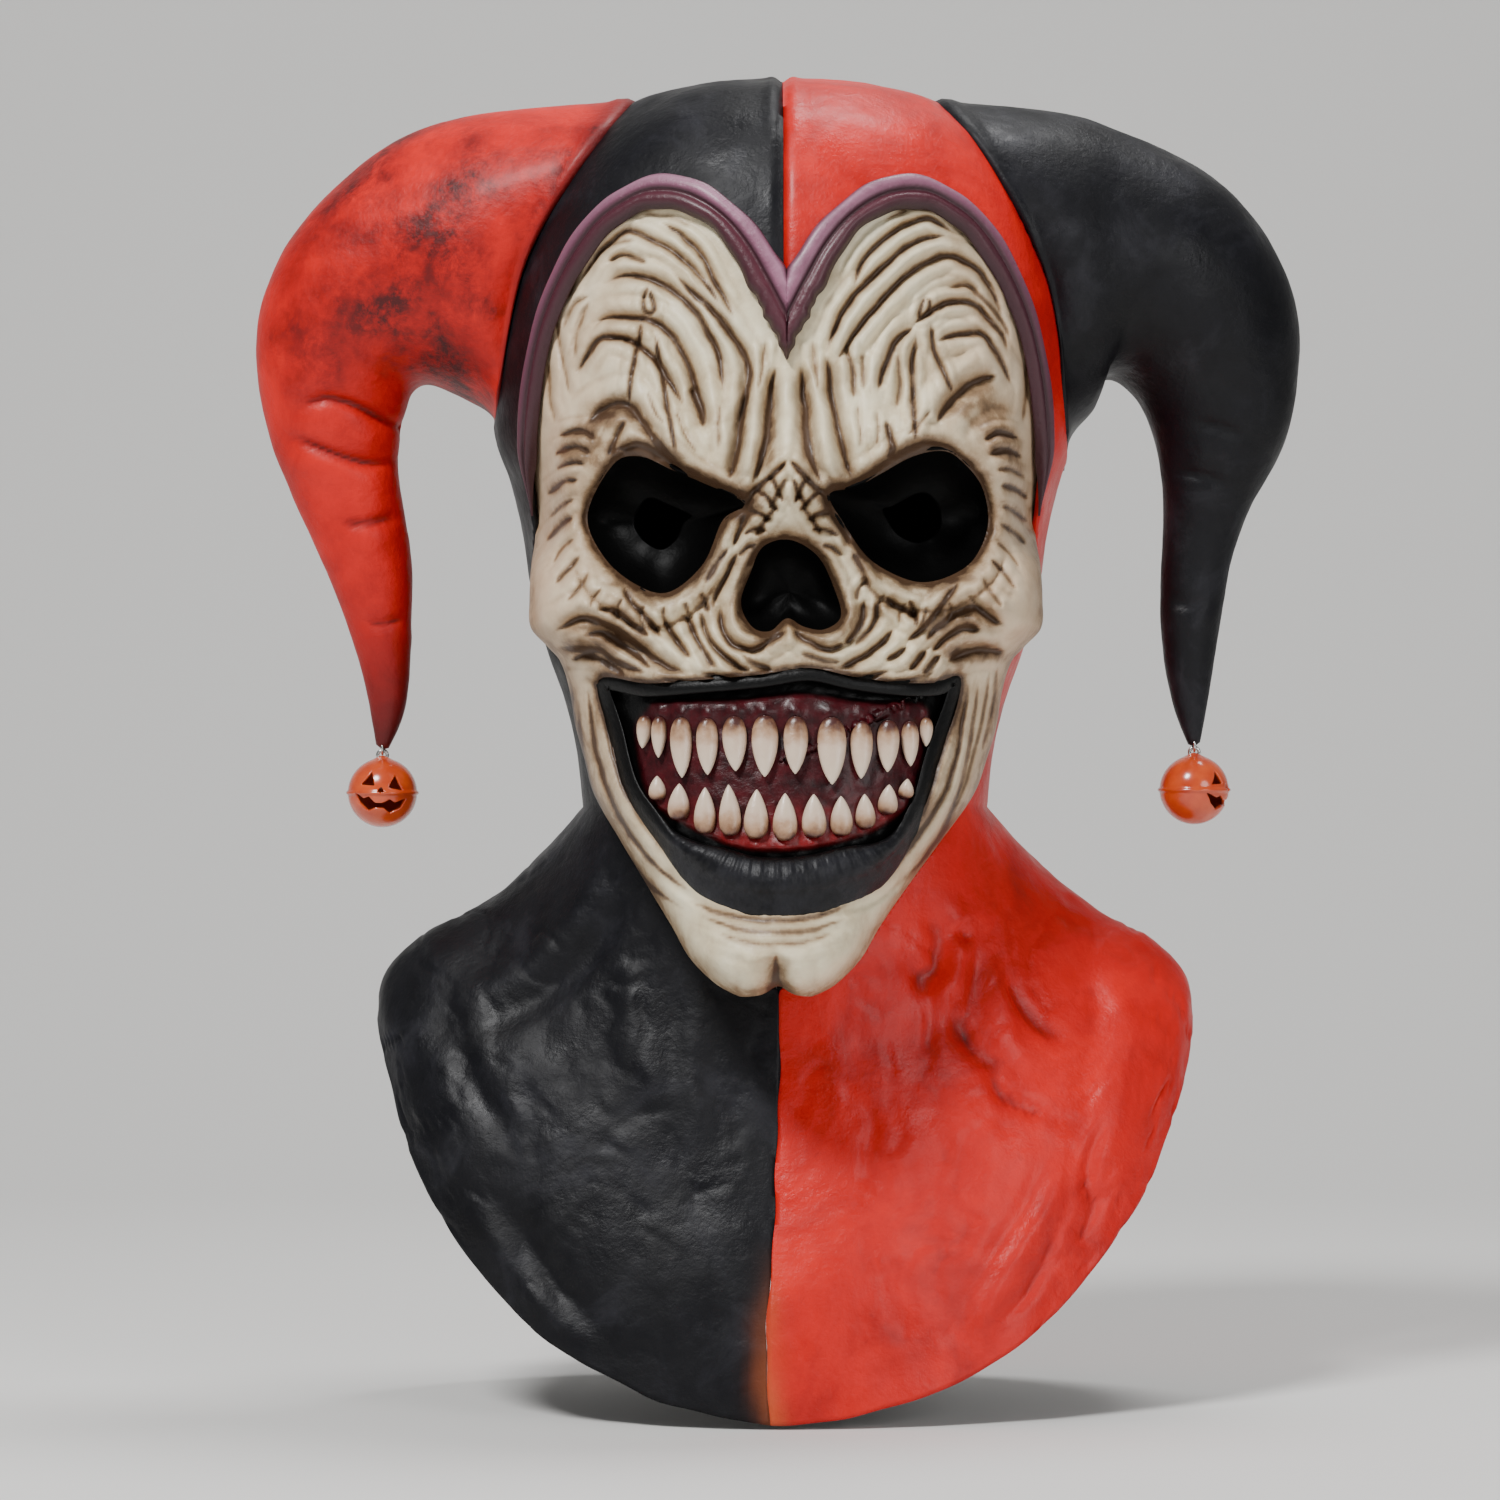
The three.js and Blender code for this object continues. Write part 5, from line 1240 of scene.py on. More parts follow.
def trim_arm():
    """Rings of the right arm of the trim, cut by the plane where the two arms meet."""
    rows = np.array(TRIM_ROWS, float)
    before = 2 * rows[0] - rows[1]
    path = open_curve(np.vstack([before, rows]), 300)
    x = path[:, 0] * HEAD_HALF
    z = -path[:, 1] * HEAD_DROP
    wide = np.minimum(path[:, 2], 1.12) * TRIM_HALF
    front = hood_front(np.abs(x), z)
    place = np.column_stack([x, front, z])
    step = 0.5
    slope_x = (hood_front(x + step, z) - hood_front(x - step, z)) / (2 * step)
    slope_z = (hood_front(x, z + step) - hood_front(x, z - step)) / (2 * step)
    outward = np.column_stack([slope_x, -np.ones(len(x)), slope_z])
    outward /= np.linalg.norm(outward, axis=1, keepdims=True)
    ahead = np.gradient(place, axis=0)
    ahead /= np.linalg.norm(ahead, axis=1, keepdims=True)
    aside = np.cross(outward, ahead)
    aside /= np.linalg.norm(aside, axis=1, keepdims=True)
    section = closed_curve(TRIM_SECTION, 44)
    count = np.arange(len(path))
    ripple = 1 + 0.05 * np.sin(count * 0.13) + 0.04 * np.sin(count * 0.31 + 1)
    run_out = (1 - 0.85 * smooth(count / len(path), 0.86, 1.0))[:, None, None]
    across = section[None, :, 0, None] * (wide * ripple)[:, None, None] * aside[:, None, :] * run_out
    up = section[None, :, 1, None] * outward[:, None, :] * run_out
    rings = place[:, None, :] + across + up
    rings[:, :, 0] = np.maximum(rings[:, :, 0], 0)
    return rings, np.tile(section[:, 0], len(path)), np.repeat(count / len(path), len(section))


def build_trim():
    """Both arms of the trim, the left one as the mirror of the right one."""
    rings, ridge, low = trim_arm()
    count = rings.shape[1]
    faces = grid_faces(len(rings), count, around=True)
    points = rings.reshape(-1, 3)
    middle = rings[len(rings) // 2].mean(0)
    if not looks_out(points, faces[len(faces) // 2], lambda a: a - middle):
        faces = faces[:, ::-1]
    size = len(points)
    last = (len(rings) - 1) * count
    end = [size, *range(last, last + count)]
    faces = [list(face) for face in faces]
    faces += [[end[0], end[1 + j], end[1 + (j + 1) % count]] for j in range(count)]
    points = np.vstack([points, rings[-1].mean(0)])
    whole = np.vstack([points, points * (-1, 1, 1)])
    faces += [[i + size + 1 for i in face[::-1]] for face in faces]
    ridge = np.tile(np.append(ridge, 0.0), 2)
    low = np.tile(np.append(low, 1.0), 2)
    return make_object("face_trim_skin", whole, faces, {"ridge": ridge, "low": low})


def ring_curve(outline, distance):
    """Outline moved outward by a distance, kept from crossing itself by smoothing."""
    x, z = outline.T
    area = 0.5 * np.sum(x * np.roll(z, -1) - np.roll(x, -1) * z)
    ahead = np.roll(outline, -1, 0) - np.roll(outline, 1, 0)
    ahead /= np.linalg.norm(ahead, axis=1, keepdims=True)
    out = np.column_stack([ahead[:, 1], -ahead[:, 0]]) * np.sign(area)
    for _ in range(6):
        out = (np.roll(out, 1, 0) + 2 * out + np.roll(out, -1, 0)) / 4
    size = np.asarray(distance)
    return outline + out * (size[:, None] if size.ndim else size)


def build_socket(name, outline, depth, hole):
    """Glossy bowl set into an opening of the face, with a hole to see through."""
    rim = ring_curve(outline, 0.6)
    centre = outline.mean(0)
    mean = face_front(rim[:, 0], rim[:, 1]).mean()
    steps = np.linspace(1, hole if hole else 0.02, 26)
    rings = []
    for share in steps:
        x = mix(centre[0], rim[:, 0], share)
        z = mix(centre[1], rim[:, 1], share)
        front = face_front(rim[:, 0], rim[:, 1])
        fall = 1 - share**3.4
        y = mix(mean, front, share) + 2.4 + fall * depth
        rings.append(np.column_stack([x, y, z]))
    grid = np.array(rings)
    points, faces = sheet_from(grid, True, to_viewer)
    if not hole:
        last = (len(rings) - 1) * len(outline)
        points = np.vstack([points, points[last:].mean(0)])
        n = len(outline)
        turn = faces[0][0] < faces[0][1]
        cap = [[last + j, last + (j + 1) % n, len(points) - 1] for j in range(n)]
        faces += cap if turn else [face[::-1] for face in cap]
    obj = make_object(name, points, faces)
    thicken(obj, 1.4)
    return obj


def lip_width(z):
    """Width of the lip ring: thin above and beside the mouth, thick below it."""
    down = -z / HEAD_DROP
    above = mix(UPPER_LIP, SIDE_LIP, smooth(down, 0.668, 0.7))
    return mix(above, LOWER_LIP, smooth(down, 0.828, 0.885))


# Lip section: share of its width, into the mouth, and depth in millimetres
LIP_SECTION = [
    (0.5, 1.6), (0.3, 0.3), (-0.05, -1.1), (-0.2, -2.2), (-0.38, -2.8), (-0.55, -2.7), (-0.75, -2.0),
    (-0.92, -0.8), (-1.02, 0.8), (-1.05, 2.8),
]


def build_lips():
    """Thick rolled ring round the mouth, with ticks across its lower part."""
    outline = closed_curve(shares(MOUTH), 420)
    width = lip_width(outline[:, 1])
    lower = smooth(-outline[:, 1] / HEAD_DROP, 0.8, 0.86)
    count = np.arange(len(outline))
    tick = 0.5 * np.sin(count * 0.9) + 0.4 * np.sin(count * 2.1 + 0.7) + 0.3 * np.sin(count * 0.37)
    rings = []
    for across, up in open_curve(LIP_SECTION, 26):
        ring = ring_curve(outline, across * width)
        y = face_front(ring[:, 0], ring[:, 1])
        swell = up * mix(0.3, 1.15, lower) + 1.6 * (1 - lower) + 0.4 * lower * tick * (up < 0)
        rings.append(np.column_stack([ring[:, 0], y + swell, ring[:, 1]]))
    grid = np.array(rings)
    points, faces = sheet_from(grid, True, to_viewer)
    inner = np.repeat(np.linspace(0, 1, len(rings)), len(outline))
    # Off this band the lips are painted near black: painted shadow inside the mouth and under the upper lip
    band_clear_of_shadow = np.tile(lower, len(rings)) * (1 - smooth(inner, 0.55, 0.8))
    obj = make_object("lips_skin", points, faces, {"band_clear_of_shadow": band_clear_of_shadow})
    thicken(obj, 1.2)
    return obj


GUM_BEHIND = 5


def gum_front(x, z):
    """Depth of the gum, which swells where the teeth are rooted."""
    down = -z / HEAD_DROP
    upper = bump(down - 0.695, 0.015)
    lower = bump(down - 0.835, 0.02)
    return face_front(x, z) + GUM_BEHIND - 0.8 * np.maximum(upper, lower)


# Where the bare gum shows inside the mouth, in pixels; the plate is painted black outside it, a painted
# shadow inside the mouth
GUM_LINE = [
    (648, 712), (661, 703), (741, 701), (798, 695), (865, 703), (918, 704), (928, 716), (926, 745),
    (915, 796), (878, 827), (836, 842), (792, 849), (741, 847), (685, 824), (650, 797), (638, 750),
    (637, 724),
]


def build_gums():
    """Wet plate behind the teeth, scalloped where they are rooted and painted black round its edge as painted
    shadow inside the mouth.
    """
    outline = closed_curve(shares(MOUTH), 240)
    rim = ring_curve(outline, -0.3 * lip_width(outline[:, 1]))
    bare = closed_curve(from_photo(GUM_LINE, gum_front), 90)
    centre = rim.mean(0)
    rings = []
    for share in np.linspace(0.01, 1, 90):
        x = mix(centre[0], rim[:, 0], share)
        z = mix(centre[1], rim[:, 1], share)
        y = gum_front(x, z)
        for rows, below in ((UPPER_TEETH, -1.5), (LOWER_TEETH, 2.5)):
            for out, root, _, wide in rows:
                beside = (x - out * HEAD_HALF) / (2.5 * wide)
                y = y - 1.7 * np.exp(-beside**2 - ((z + root * HEAD_DROP + below) / 3.4) ** 2)
        rings.append(np.column_stack([x, y, z]))
    grid = np.array(rings)
    points, faces = sheet_from(grid, True, to_viewer)
    # Painted shadow: black outside the bare gum, where the plate also steps back
    painted = smooth(outside(points[:, 0], points[:, 2], bare), -1.0, 1.2)
    points[:, 1] += 0.3 * wave(points, 3.5, 3.0) + 1.2 * painted
    lower = smooth(-points[:, 2] / HEAD_DROP, 0.775, 0.84)
    obj = make_object("gums_skin", points, faces, {"painted": painted, "lower": lower})
    thicken(obj, 2)
    return obj


def leaf(t, start, end):
    """Width of a leaf along its length, one where it is widest."""
    widest = start / (start + end)
    return t**start * (1 - t) ** end / (widest**start * (1 - widest) ** end)


def build_tooth(name, row, upper):
    """Pointed tooth with an oval section and the outline of a leaf, rooted in the gum."""
    out, root, tip, wide = row
    x = out * HEAD_HALF
    lean = wave([(x, 0, root * 90)], 6, 1.0)[0]
    rings = []
    size = 20
    places = np.concatenate([[0.004, 0.015, 0.035], np.linspace(0.07, 0.93, 18), [0.965, 0.985, 0.997]])
    for t in places:
        z = -mix(root, tip, t) * HEAD_DROP
        form = leaf(t, 0.42, 0.72) if upper else leaf(t, 0.36, 0.8)
        half = wide * 3.55 * form
        deep = 3.9 * form**0.8
        seat = float(gum_front(np.array([x]), np.array([z]))[0]) - 0.2
        angle = np.arange(size) / size * 2 * math.pi
        bend_x = 1.1 * lean * t * t
        curl = -1.1 * t * t if upper else -0.7 * t * t
        rings.append(np.column_stack([x + bend_x + half * np.cos(angle),
                                      seat - 1.4 + curl + deep * 0.62 * np.sin(angle),
                                      np.full(size, z)]))
    grid = np.array(rings)
    points = grid.reshape(-1, 3)
    faces = [list(face) for face in grid_faces(len(rings), size, around=True)]
    middle = 8 * size
    if not looks_out(points, faces[middle], lambda a: a - grid[8].mean(0)):
        faces = [face[::-1] for face in faces]
    last = (len(rings) - 1) * size
    flip = faces[0][1] < faces[0][0]
    first_cap = list(range(size))
    last_cap = list(range(last, last + size))
    faces.append(first_cap if flip else first_cap[::-1])
    faces.append(last_cap[::-1] if flip else last_cap)
    return make_object(name, points, faces, {"root": np.repeat(1 - places, size)})


BELL_RADIUS = 11.6
BELL_WALL = 1.1
PUMPKIN_CUTS = [
    [(-0.62, 0.16), (-0.2, 0.18), (-0.34, 0.58)],
    [(0.62, 0.16), (0.2, 0.18), (0.34, 0.58)],
    [(0, -0.06), (0.1, 0.06), (0, 0.2), (-0.1, 0.06)],
    [(-0.76, -0.06), (-0.46, -0.22), (-0.32, -0.14), (-0.12, -0.3), (0.1, -0.28), (0.3, -0.14),
     (0.44, -0.22), (0.76, -0.04), (0.62, -0.36), (0.34, -0.56), (0.16, -0.44), (-0.1, -0.46),
     (-0.3, -0.58), (-0.58, -0.38)],
]


def build_bell(name, centre, turn, tilt):
    """Hollow ball with a pumpkin face, a seam round its middle and a neck on top."""
    lines = 84
    around = 132
    angle = np.arange(around) / around * 2 * math.pi
    rings = []
    for latitude in np.linspace(0.5, -0.5, lines) * math.pi:
        r = BELL_RADIUS * math.cos(latitude)
        rise = BELL_RADIUS * math.sin(latitude)
        seam = 0.75 * math.exp(-(rise / 0.55) ** 2)
        top = 0.9 * math.exp(-((latitude - math.pi / 2) / 0.2) ** 2)
        r = max(r + seam, 0.01)
        rings.append(np.column_stack([r * np.sin(angle), -r * np.cos(angle), np.full(around, rise + top)]))
    grid = np.array(rings)
    points, faces = sheet_from(grid, True, lambda a: a)
    values = np.full(len(points), 9.0)
    lean = math.radians(tilt)
    turned = np.array([[math.cos(lean), math.sin(lean)], [-math.sin(lean), math.cos(lean)]])
    for cut in PUMPKIN_CUTS:
        outline = np.array(cut) @ turned * BELL_RADIUS
        away = outside(points[:, 0], points[:, 2], outline)
        values = np.where(points[:, 1] < -2, np.minimum(values, away), values)
    points, faces, _ = clipped(points, faces, values)
    points, faces, _ = tidy(points, faces)
    spin = math.radians(turn)
    x, y, z = points.T
    across = x * math.cos(spin) - y * math.sin(spin)
    back = x * math.sin(spin) + y * math.cos(spin)
    points = np.column_stack([across, back, z])
    obj = make_object(name, points + centre, faces)
    thicken(obj, BELL_WALL)
    return obj


def build_ring(name, centre, radius, wire, across, around=48, section=18):
    """Torus of wire, its hole seen from the front or from the side."""
    turn = np.arange(around) / around * 2 * math.pi
    rings = []
    for t in turn:
        s = np.arange(section) / section * 2 * math.pi
        reach = radius + wire * np.cos(s)
        flat = wire * np.sin(s)
        if across:
            rings.append(np.column_stack([flat, reach * math.cos(t), reach * math.sin(t)]))
        else:
            rings.append(np.column_stack([reach * math.cos(t), flat, reach * math.sin(t)]))
    grid = np.array(rings)
    points = grid.reshape(-1, 3) + centre
    i, j = np.meshgrid(np.arange(around), np.arange(section), indexing="ij")
    ni = (i + 1) % around
    nj = (j + 1) % section
    faces = np.stack([i * section + j, ni * section + j, ni * section + nj, i * section + nj], -1)
    faces = faces.reshape(-1, 4)
    if not looks_out(points, faces[0], lambda a: a - (grid[0].mean(0) + centre)):
        faces = faces[:, ::-1]
    return make_object(name, points, [list(face) for face in faces])


# Materials

def new_material(name, colour, rough, coat=0.0, metal=0.0):
    material = bpy.data.materials.new(name)
    material.use_nodes = True
    shader = material.node_tree.nodes["Principled BSDF"]
    shader.inputs["Base Color"].default_value = (*colour, 1)
    shader.inputs["Roughness"].default_value = rough
    shader.inputs["Metallic"].default_value = metal
    shader.inputs["Coat Weight"].default_value = coat
    shader.inputs["Coat Roughness"].default_value = 0.18
    return material, material.node_tree, shader


def node(tree, kind, **settings):
    made = tree.nodes.new(kind)
    for key, value in settings.items():
        setattr(made, key, value)
    return made


def noise_node(tree, size, detail=4.0, rough=0.55, warp=0.0):
    """Noise in the object's own space, with features of that size in millimetres."""
    place = node(tree, "ShaderNodeTexCoord")
    made = node(tree, "ShaderNodeTexNoise")
    made.inputs["Scale"].default_value = 1000.0 / size
    made.inputs["Detail"].default_value = detail
    made.inputs["Roughness"].default_value = rough
    made.inputs["Distortion"].default_value = warp
    tree.links.new(place.outputs["Object"], made.inputs["Vector"])
    return made.outputs["Fac"]


def ramp(tree, source, stops):
    made = node(tree, "ShaderNodeValToRGB")
    elements = made.color_ramp.elements
    while len(elements) < len(stops):
        elements.new(0.5)
    for element, (place, colour) in zip(elements, stops):
        element.position = place
        element.color = (*colour, 1) if len(colour) == 3 else colour
    tree.links.new(source, made.inputs["Fac"])
    return made.outputs["Color"]


def grey(tree, source, low, high, start=0.0, end=1.0):
    """Maps a value to a range."""
    made = node(tree, "ShaderNodeMapRange")
    made.inputs["From Min"].default_value = start
    made.inputs["From Max"].default_value = end
    made.inputs["To Min"].default_value = low
    made.inputs["To Max"].default_value = high
    tree.links.new(source, made.inputs["Value"])
    return made.outputs["Result"]


def blended(tree, share, a, b):
    """Mixes two colours, each a colour or a socket."""
    made = node(tree, "ShaderNodeMix", data_type="RGBA")
    for key, value in (("A", a), ("B", b)):
        socket = [s for s in made.inputs if s.name == key and s.type == "RGBA"][0]
        if isinstance(value, tuple):
            socket.default_value = (*value, 1)
        else:
            tree.links.new(value, socket)
    factor = [s for s in made.inputs if s.name == "Factor" and s.type == "VALUE"][0]
    tree.links.new(share, factor)
    return [s for s in made.outputs if s.type == "RGBA"][0]


def math_node(tree, kind, a, b):
    made = node(tree, "ShaderNodeMath", operation=kind)
    for i, value in enumerate((a, b)):
        if isinstance(value, (int, float)):
            made.inputs[i].default_value = value
        else:
            tree.links.new(value, made.inputs[i])
    return made.outputs[0]


def mark(tree, name):
    return node(tree, "ShaderNodeAttribute", attribute_name=name).outputs["Fac"]


def bumped(tree, shader, layers):
    """Fine relief from noises: size in millimetres and depth in millimetres."""
    previous = None
    for size, depth in layers:
        made = node(tree, "ShaderNodeBump")
        made.inputs["Strength"].default_value = 1.0
        made.inputs["Distance"].default_value = depth * MM
        tree.links.new(noise_node(tree, size, 6.0, 0.6), made.inputs["Height"])
        if previous is not None:
            tree.links.new(previous, made.inputs["Normal"])
        previous = made.outputs["Normal"]
    tree.links.new(previous, shader.inputs["Normal"])


def dull(shader, level):
    shader.inputs["Specular IOR Level"].default_value = level


def painted(tree, shader, colour):
    tree.links.new(colour, shader.inputs["Base Color"])


def black_latex():
    material, tree, shader = new_material("black_latex", (0.006, 0.006, 0.008), 0.46, 0.0)
    dull(shader, 0.24)
    patches = noise_node(tree, 30, 6.0, 0.65, 0.6)
    colour = ramp(tree, patches, [(0.3, (0.002, 0.002, 0.003)), (0.54, (0.005, 0.005, 0.007)),
                                  (0.74, (0.02, 0.02, 0.025))])
    colour = blended(tree, grey(tree, mark(tree, "smear"), 0.0, 0.55), colour, (0.42, 0.10, 0.03))
    painted(tree, shader, colour)
    rough = grey(tree, noise_node(tree, 18, 5.0, 0.6), 0.36, 0.6, 0.32, 0.68)
    tree.links.new(rough, shader.inputs["Roughness"])
    bumped(tree, shader, [(9.0, 0.4), (2.6, 0.22), (0.9, 0.07)])
    return material


RED_GRAIN = [(8.0, 0.45), (2.6, 0.3), (0.9, 0.07)]


def red_layer(tree):
    patches = noise_node(tree, 34, 6.0, 0.62, 0.6)
    return ramp(tree, patches, [(0.28, (0.38, 0.004, 0.003)), (0.5, (0.62, 0.007, 0.004)),
                                (0.75, (0.82, 0.014, 0.008))])


def red_latex():
    """Red with painted shade in the low folds and pits of the bib, from the height mark, and fine dark
    cracks.
    """
    material, tree, shader = new_material("red_latex", (0.66, 0.014, 0.009), 0.42, 0.06)
    dull(shader, 0.34)
    # Painted shade: the lower the relief, the darker the red
    low = grey(tree, mark(tree, "height"), 0.85, 0.0, -3.4, -1.2)
    worn = ramp(tree, noise_node(tree, 11, 8.0, 0.75, 1.2), [(0.62, (0, 0, 0)), (0.72, (1, 1, 1))])
    share = math_node(tree, "MAXIMUM", low, math_node(tree, "MULTIPLY", worn, 0.3))
    colour = blended(tree, share, red_layer(tree), (0.09, 0.006, 0.006))
    colour = blended(tree, grey(tree, mark(tree, "smear"), 0.0, 0.7), colour, (0.55, 0.14, 0.035))
    painted(tree, shader, colour)
    rough = grey(tree, noise_node(tree, 12, 5.0), 0.32, 0.55, 0.3, 0.7)
    tree.links.new(rough, shader.inputs["Roughness"])
    bumped(tree, shader, RED_GRAIN)
    return material


def red_horn_latex():
    """Red with black brushed on dry near the seam, painted shade in its creases, and darker towards the tip.
    """
    material, tree, shader = new_material("red_horn_latex", (0.66, 0.014, 0.009), 0.5, 0.04)
    dull(shader, 0.3)
    broad = ramp(tree, noise_node(tree, 55, 5.0, 0.6, 0.3), [(0.42, (0, 0, 0)), (0.58, (1, 1, 1))])
    fine = ramp(tree, noise_node(tree, 11, 9.0, 0.8, 0.25), [(0.34, (0.1, 0.1, 0.1)), (0.56, (1, 1, 1))])
    smudge = math_node(tree, "MULTIPLY", broad, fine)
    reach = grey(tree, mark(tree, "along"), 0.9, 0.0, 0.3, 0.62)
    share = math_node(tree, "MULTIPLY", smudge, reach)
    edge = grey(tree, mark(tree, "along"), 0.8, 0.0, 0.0, 0.035)
    tip = grey(tree, mark(tree, "along"), 0.0, 0.85, 0.72, 0.98)
    share = math_node(tree, "MAXIMUM", math_node(tree, "MAXIMUM", share, edge), tip)
    # Painted shade along the creases
    share = math_node(tree, "MAXIMUM", share, mark(tree, "crease_shade"))
    colour = blended(tree, share, red_layer(tree), (0.014, 0.006, 0.007))
    painted(tree, shader, colour)
    bumped(tree, shader, RED_GRAIN)
    return material


def bone_latex():
    """Cream skin with a brown wash and painted shade in its creases, hollows and round its openings, and
    pinker sides.
    """
    material, tree, shader = new_material("bone_latex", (0.72, 0.60, 0.42), 0.46, 0.05)
    dull(shader, 0.42)
    cream = ramp(tree, noise_node(tree, 16, 5.0, 0.6, 0.3),
                 [(0.3, (0.64, 0.52, 0.33)), (0.5, (0.84, 0.73, 0.50)), (0.72, (0.93, 0.85, 0.62))])
    pink = grey(tree, mark(tree, "side"), 0.0, 0.5, 0.45, 1.0)
    sided = blended(tree, pink, cream, (0.52, 0.29, 0.19))
    # The wash mark turns the cream tan, then dark brown: brown paint in the creases and painted shade
    broken = math_node(tree, "MULTIPLY", mark(tree, "wash_and_shade"),
                       grey(tree, noise_node(tree, 5, 6.0, 0.7), 0.7, 1.3, 0.3, 0.7))
    tan = blended(tree, grey(tree, broken, 0.0, 0.85, 0.06, 0.55), sided, (0.30, 0.175, 0.085))
    colour = blended(tree, grey(tree, broken, 0.0, 0.95, 0.42, 0.95), tan, (0.06, 0.028, 0.013))
    painted(tree, shader, colour)
    bumped(tree, shader, [(2.4, 0.22), (0.8, 0.09)])
    return material


def purple_latex():
    """Light mauve outer band and dark maroon inner one, darker down the sides."""
    material, tree, shader = new_material("purple_latex", (0.28, 0.1, 0.16), 0.42, 0.1)
    dull(shader, 0.4)
    ridge = ramp(tree, grey(tree, mark(tree, "ridge"), 0.0, 1.0, -1.06, 1.06),
                 [(0.0, (0.02, 0.006, 0.01)), (0.14, (0.06, 0.014, 0.022)), (0.4, (0.10, 0.022, 0.036)),
                  (0.52, (0.035, 0.008, 0.014)), (0.66, (0.27, 0.10, 0.165)), (0.86, (0.40, 0.18, 0.27)),
                  (1.0, (0.10, 0.03, 0.05))])
    uneven = grey(tree, noise_node(tree, 14, 6.0, 0.7, 0.8), 0.0, 0.5, 0.4, 0.75)
    low = grey(tree, mark(tree, "low"), 0.0, 0.8, 0.45, 0.85)
    share = math_node(tree, "MAXIMUM", uneven, low)
    colour = blended(tree, share, ridge, (0.05, 0.012, 0.02))
    painted(tree, shader, colour)
    bumped(tree, shader, [(6.0, 0.5), (1.6, 0.2)])
    return material


def gloss_black():
    material, tree, shader = new_material("gloss_black_latex", (0.0015, 0.0015, 0.0015), 0.44, 0.0)
    dull(shader, 0.08)
    bumped(tree, shader, [(9.0, 0.5)])
    return material


def charcoal_latex():
    """Black of the lips, a little greyer and duller than the bowls of the eyes; off the lower band it is
    painted a deeper black, painted shadow inside the mouth and under the upper lip.
    """
    material, tree, shader = new_material("charcoal_latex", (0.006, 0.006, 0.008), 0.42, 0.0)
    dull(shader, 0.24)
    colour = ramp(tree, noise_node(tree, 12, 6.0, 0.7),
                  [(0.35, (0.003, 0.003, 0.004)), (0.7, (0.022, 0.022, 0.027))])
    # Painted shadow: near black off the lower band
    colour = blended(tree, mark(tree, "band_clear_of_shadow"), (0.0015, 0.0015, 0.0015), colour)
    painted(tree, shader, colour)
    bumped(tree, shader, [(5.0, 0.4), (1.5, 0.15)])
    return material


def maroon_latex():
    """Wet gum, dark above and crimson below, painted black round its edge as painted shadow."""
    material, tree, shader = new_material("maroon_latex", (0.08, 0.005, 0.008), 0.36, 0.1)
    dull(shader, 0.25)
    upper = ramp(tree, noise_node(tree, 6, 4.0), [(0.3, (0.014, 0.001, 0.002)), (0.7, (0.075, 0.005, 0.009))])
    lower = ramp(tree, noise_node(tree, 6, 4.0), [(0.3, (0.07, 0.002, 0.003)), (0.7, (0.24, 0.008, 0.01))])
    gum = blended(tree, mark(tree, "lower"), upper, lower)
    # Painted shadow: black round the gum's edge
    colour = blended(tree, mark(tree, "painted"), gum, (0.002, 0.002, 0.002))
    painted(tree, shader, colour)
    bumped(tree, shader, [(2.5, 0.4)])
    return material


def tooth_latex():
    """Ivory with a brown stain near the root."""
    material, tree, shader = new_material("tooth_latex", (0.72, 0.56, 0.42), 0.32, 0.15)
    stain = grey(tree, noise_node(tree, 5, 4.0), -0.12, 0.12, 0.3, 0.7)
    place = math_node(tree, "ADD", mark(tree, "root"), stain)
    colour = ramp(tree, place,
                  [(0.0, (0.76, 0.62, 0.48)), (0.5, (0.66, 0.49, 0.37)), (0.72, (0.46, 0.28, 0.17)),
                   (0.86, (0.22, 0.11, 0.06)), (0.97, (0.07, 0.02, 0.016))])
    painted(tree, shader, colour)
    bumped(tree, shader, [(2.0, 0.18)])
    return material


def orange_enamel():
    material, tree, shader = new_material("orange_enamel", (0.62, 0.07, 0.014), 0.2, 0.4)
    colour = ramp(tree, noise_node(tree, 7, 4.0), [(0.3, (0.50, 0.045, 0.010)), (0.7, (0.68, 0.095, 0.02))])
    painted(tree, shader, colour)
    return material


# Stage

def build_stage():
    """Pale floor that curves up into a wall behind the mask, in metres; seen from behind it is clear."""
    floor_z = cad_box[0][2] - 0.003
    reach = 4.0
    curve_start = 0.9
    rise = 0.9
    profile = [(-reach, 0.0), (curve_start, 0.0)]
    for t in np.linspace(0.05, math.pi / 2, 24):
        profile.append((curve_start + rise * math.sin(t), rise * (1 - math.cos(t))))
    profile.append((curve_start + rise, reach))
    points = []
    for y, z in profile:
        points += [(-reach, y, z + floor_z), (reach, y, z + floor_z)]
    faces = [[2 * i, 2 * i + 1, 2 * i + 3, 2 * i + 2] for i in range(len(profile) - 1)]
    obj = make_object("backdrop", np.array(points) / MM, faces)
    material, tree, shader = new_material("backdrop", (0.78, 0.77, 0.75), 0.9)
    seen = node(tree, "ShaderNodeMixShader")
    tree.links.new(node(tree, "ShaderNodeNewGeometry").outputs["Backfacing"], seen.inputs[0])
    tree.links.new(shader.outputs[0], seen.inputs[1])
    tree.links.new(node(tree, "ShaderNodeBsdfTransparent").outputs[0], seen.inputs[2])
    tree.links.new(seen.outputs[0], tree.nodes["Material Output"].inputs["Surface"])
    obj.data.materials.append(material)


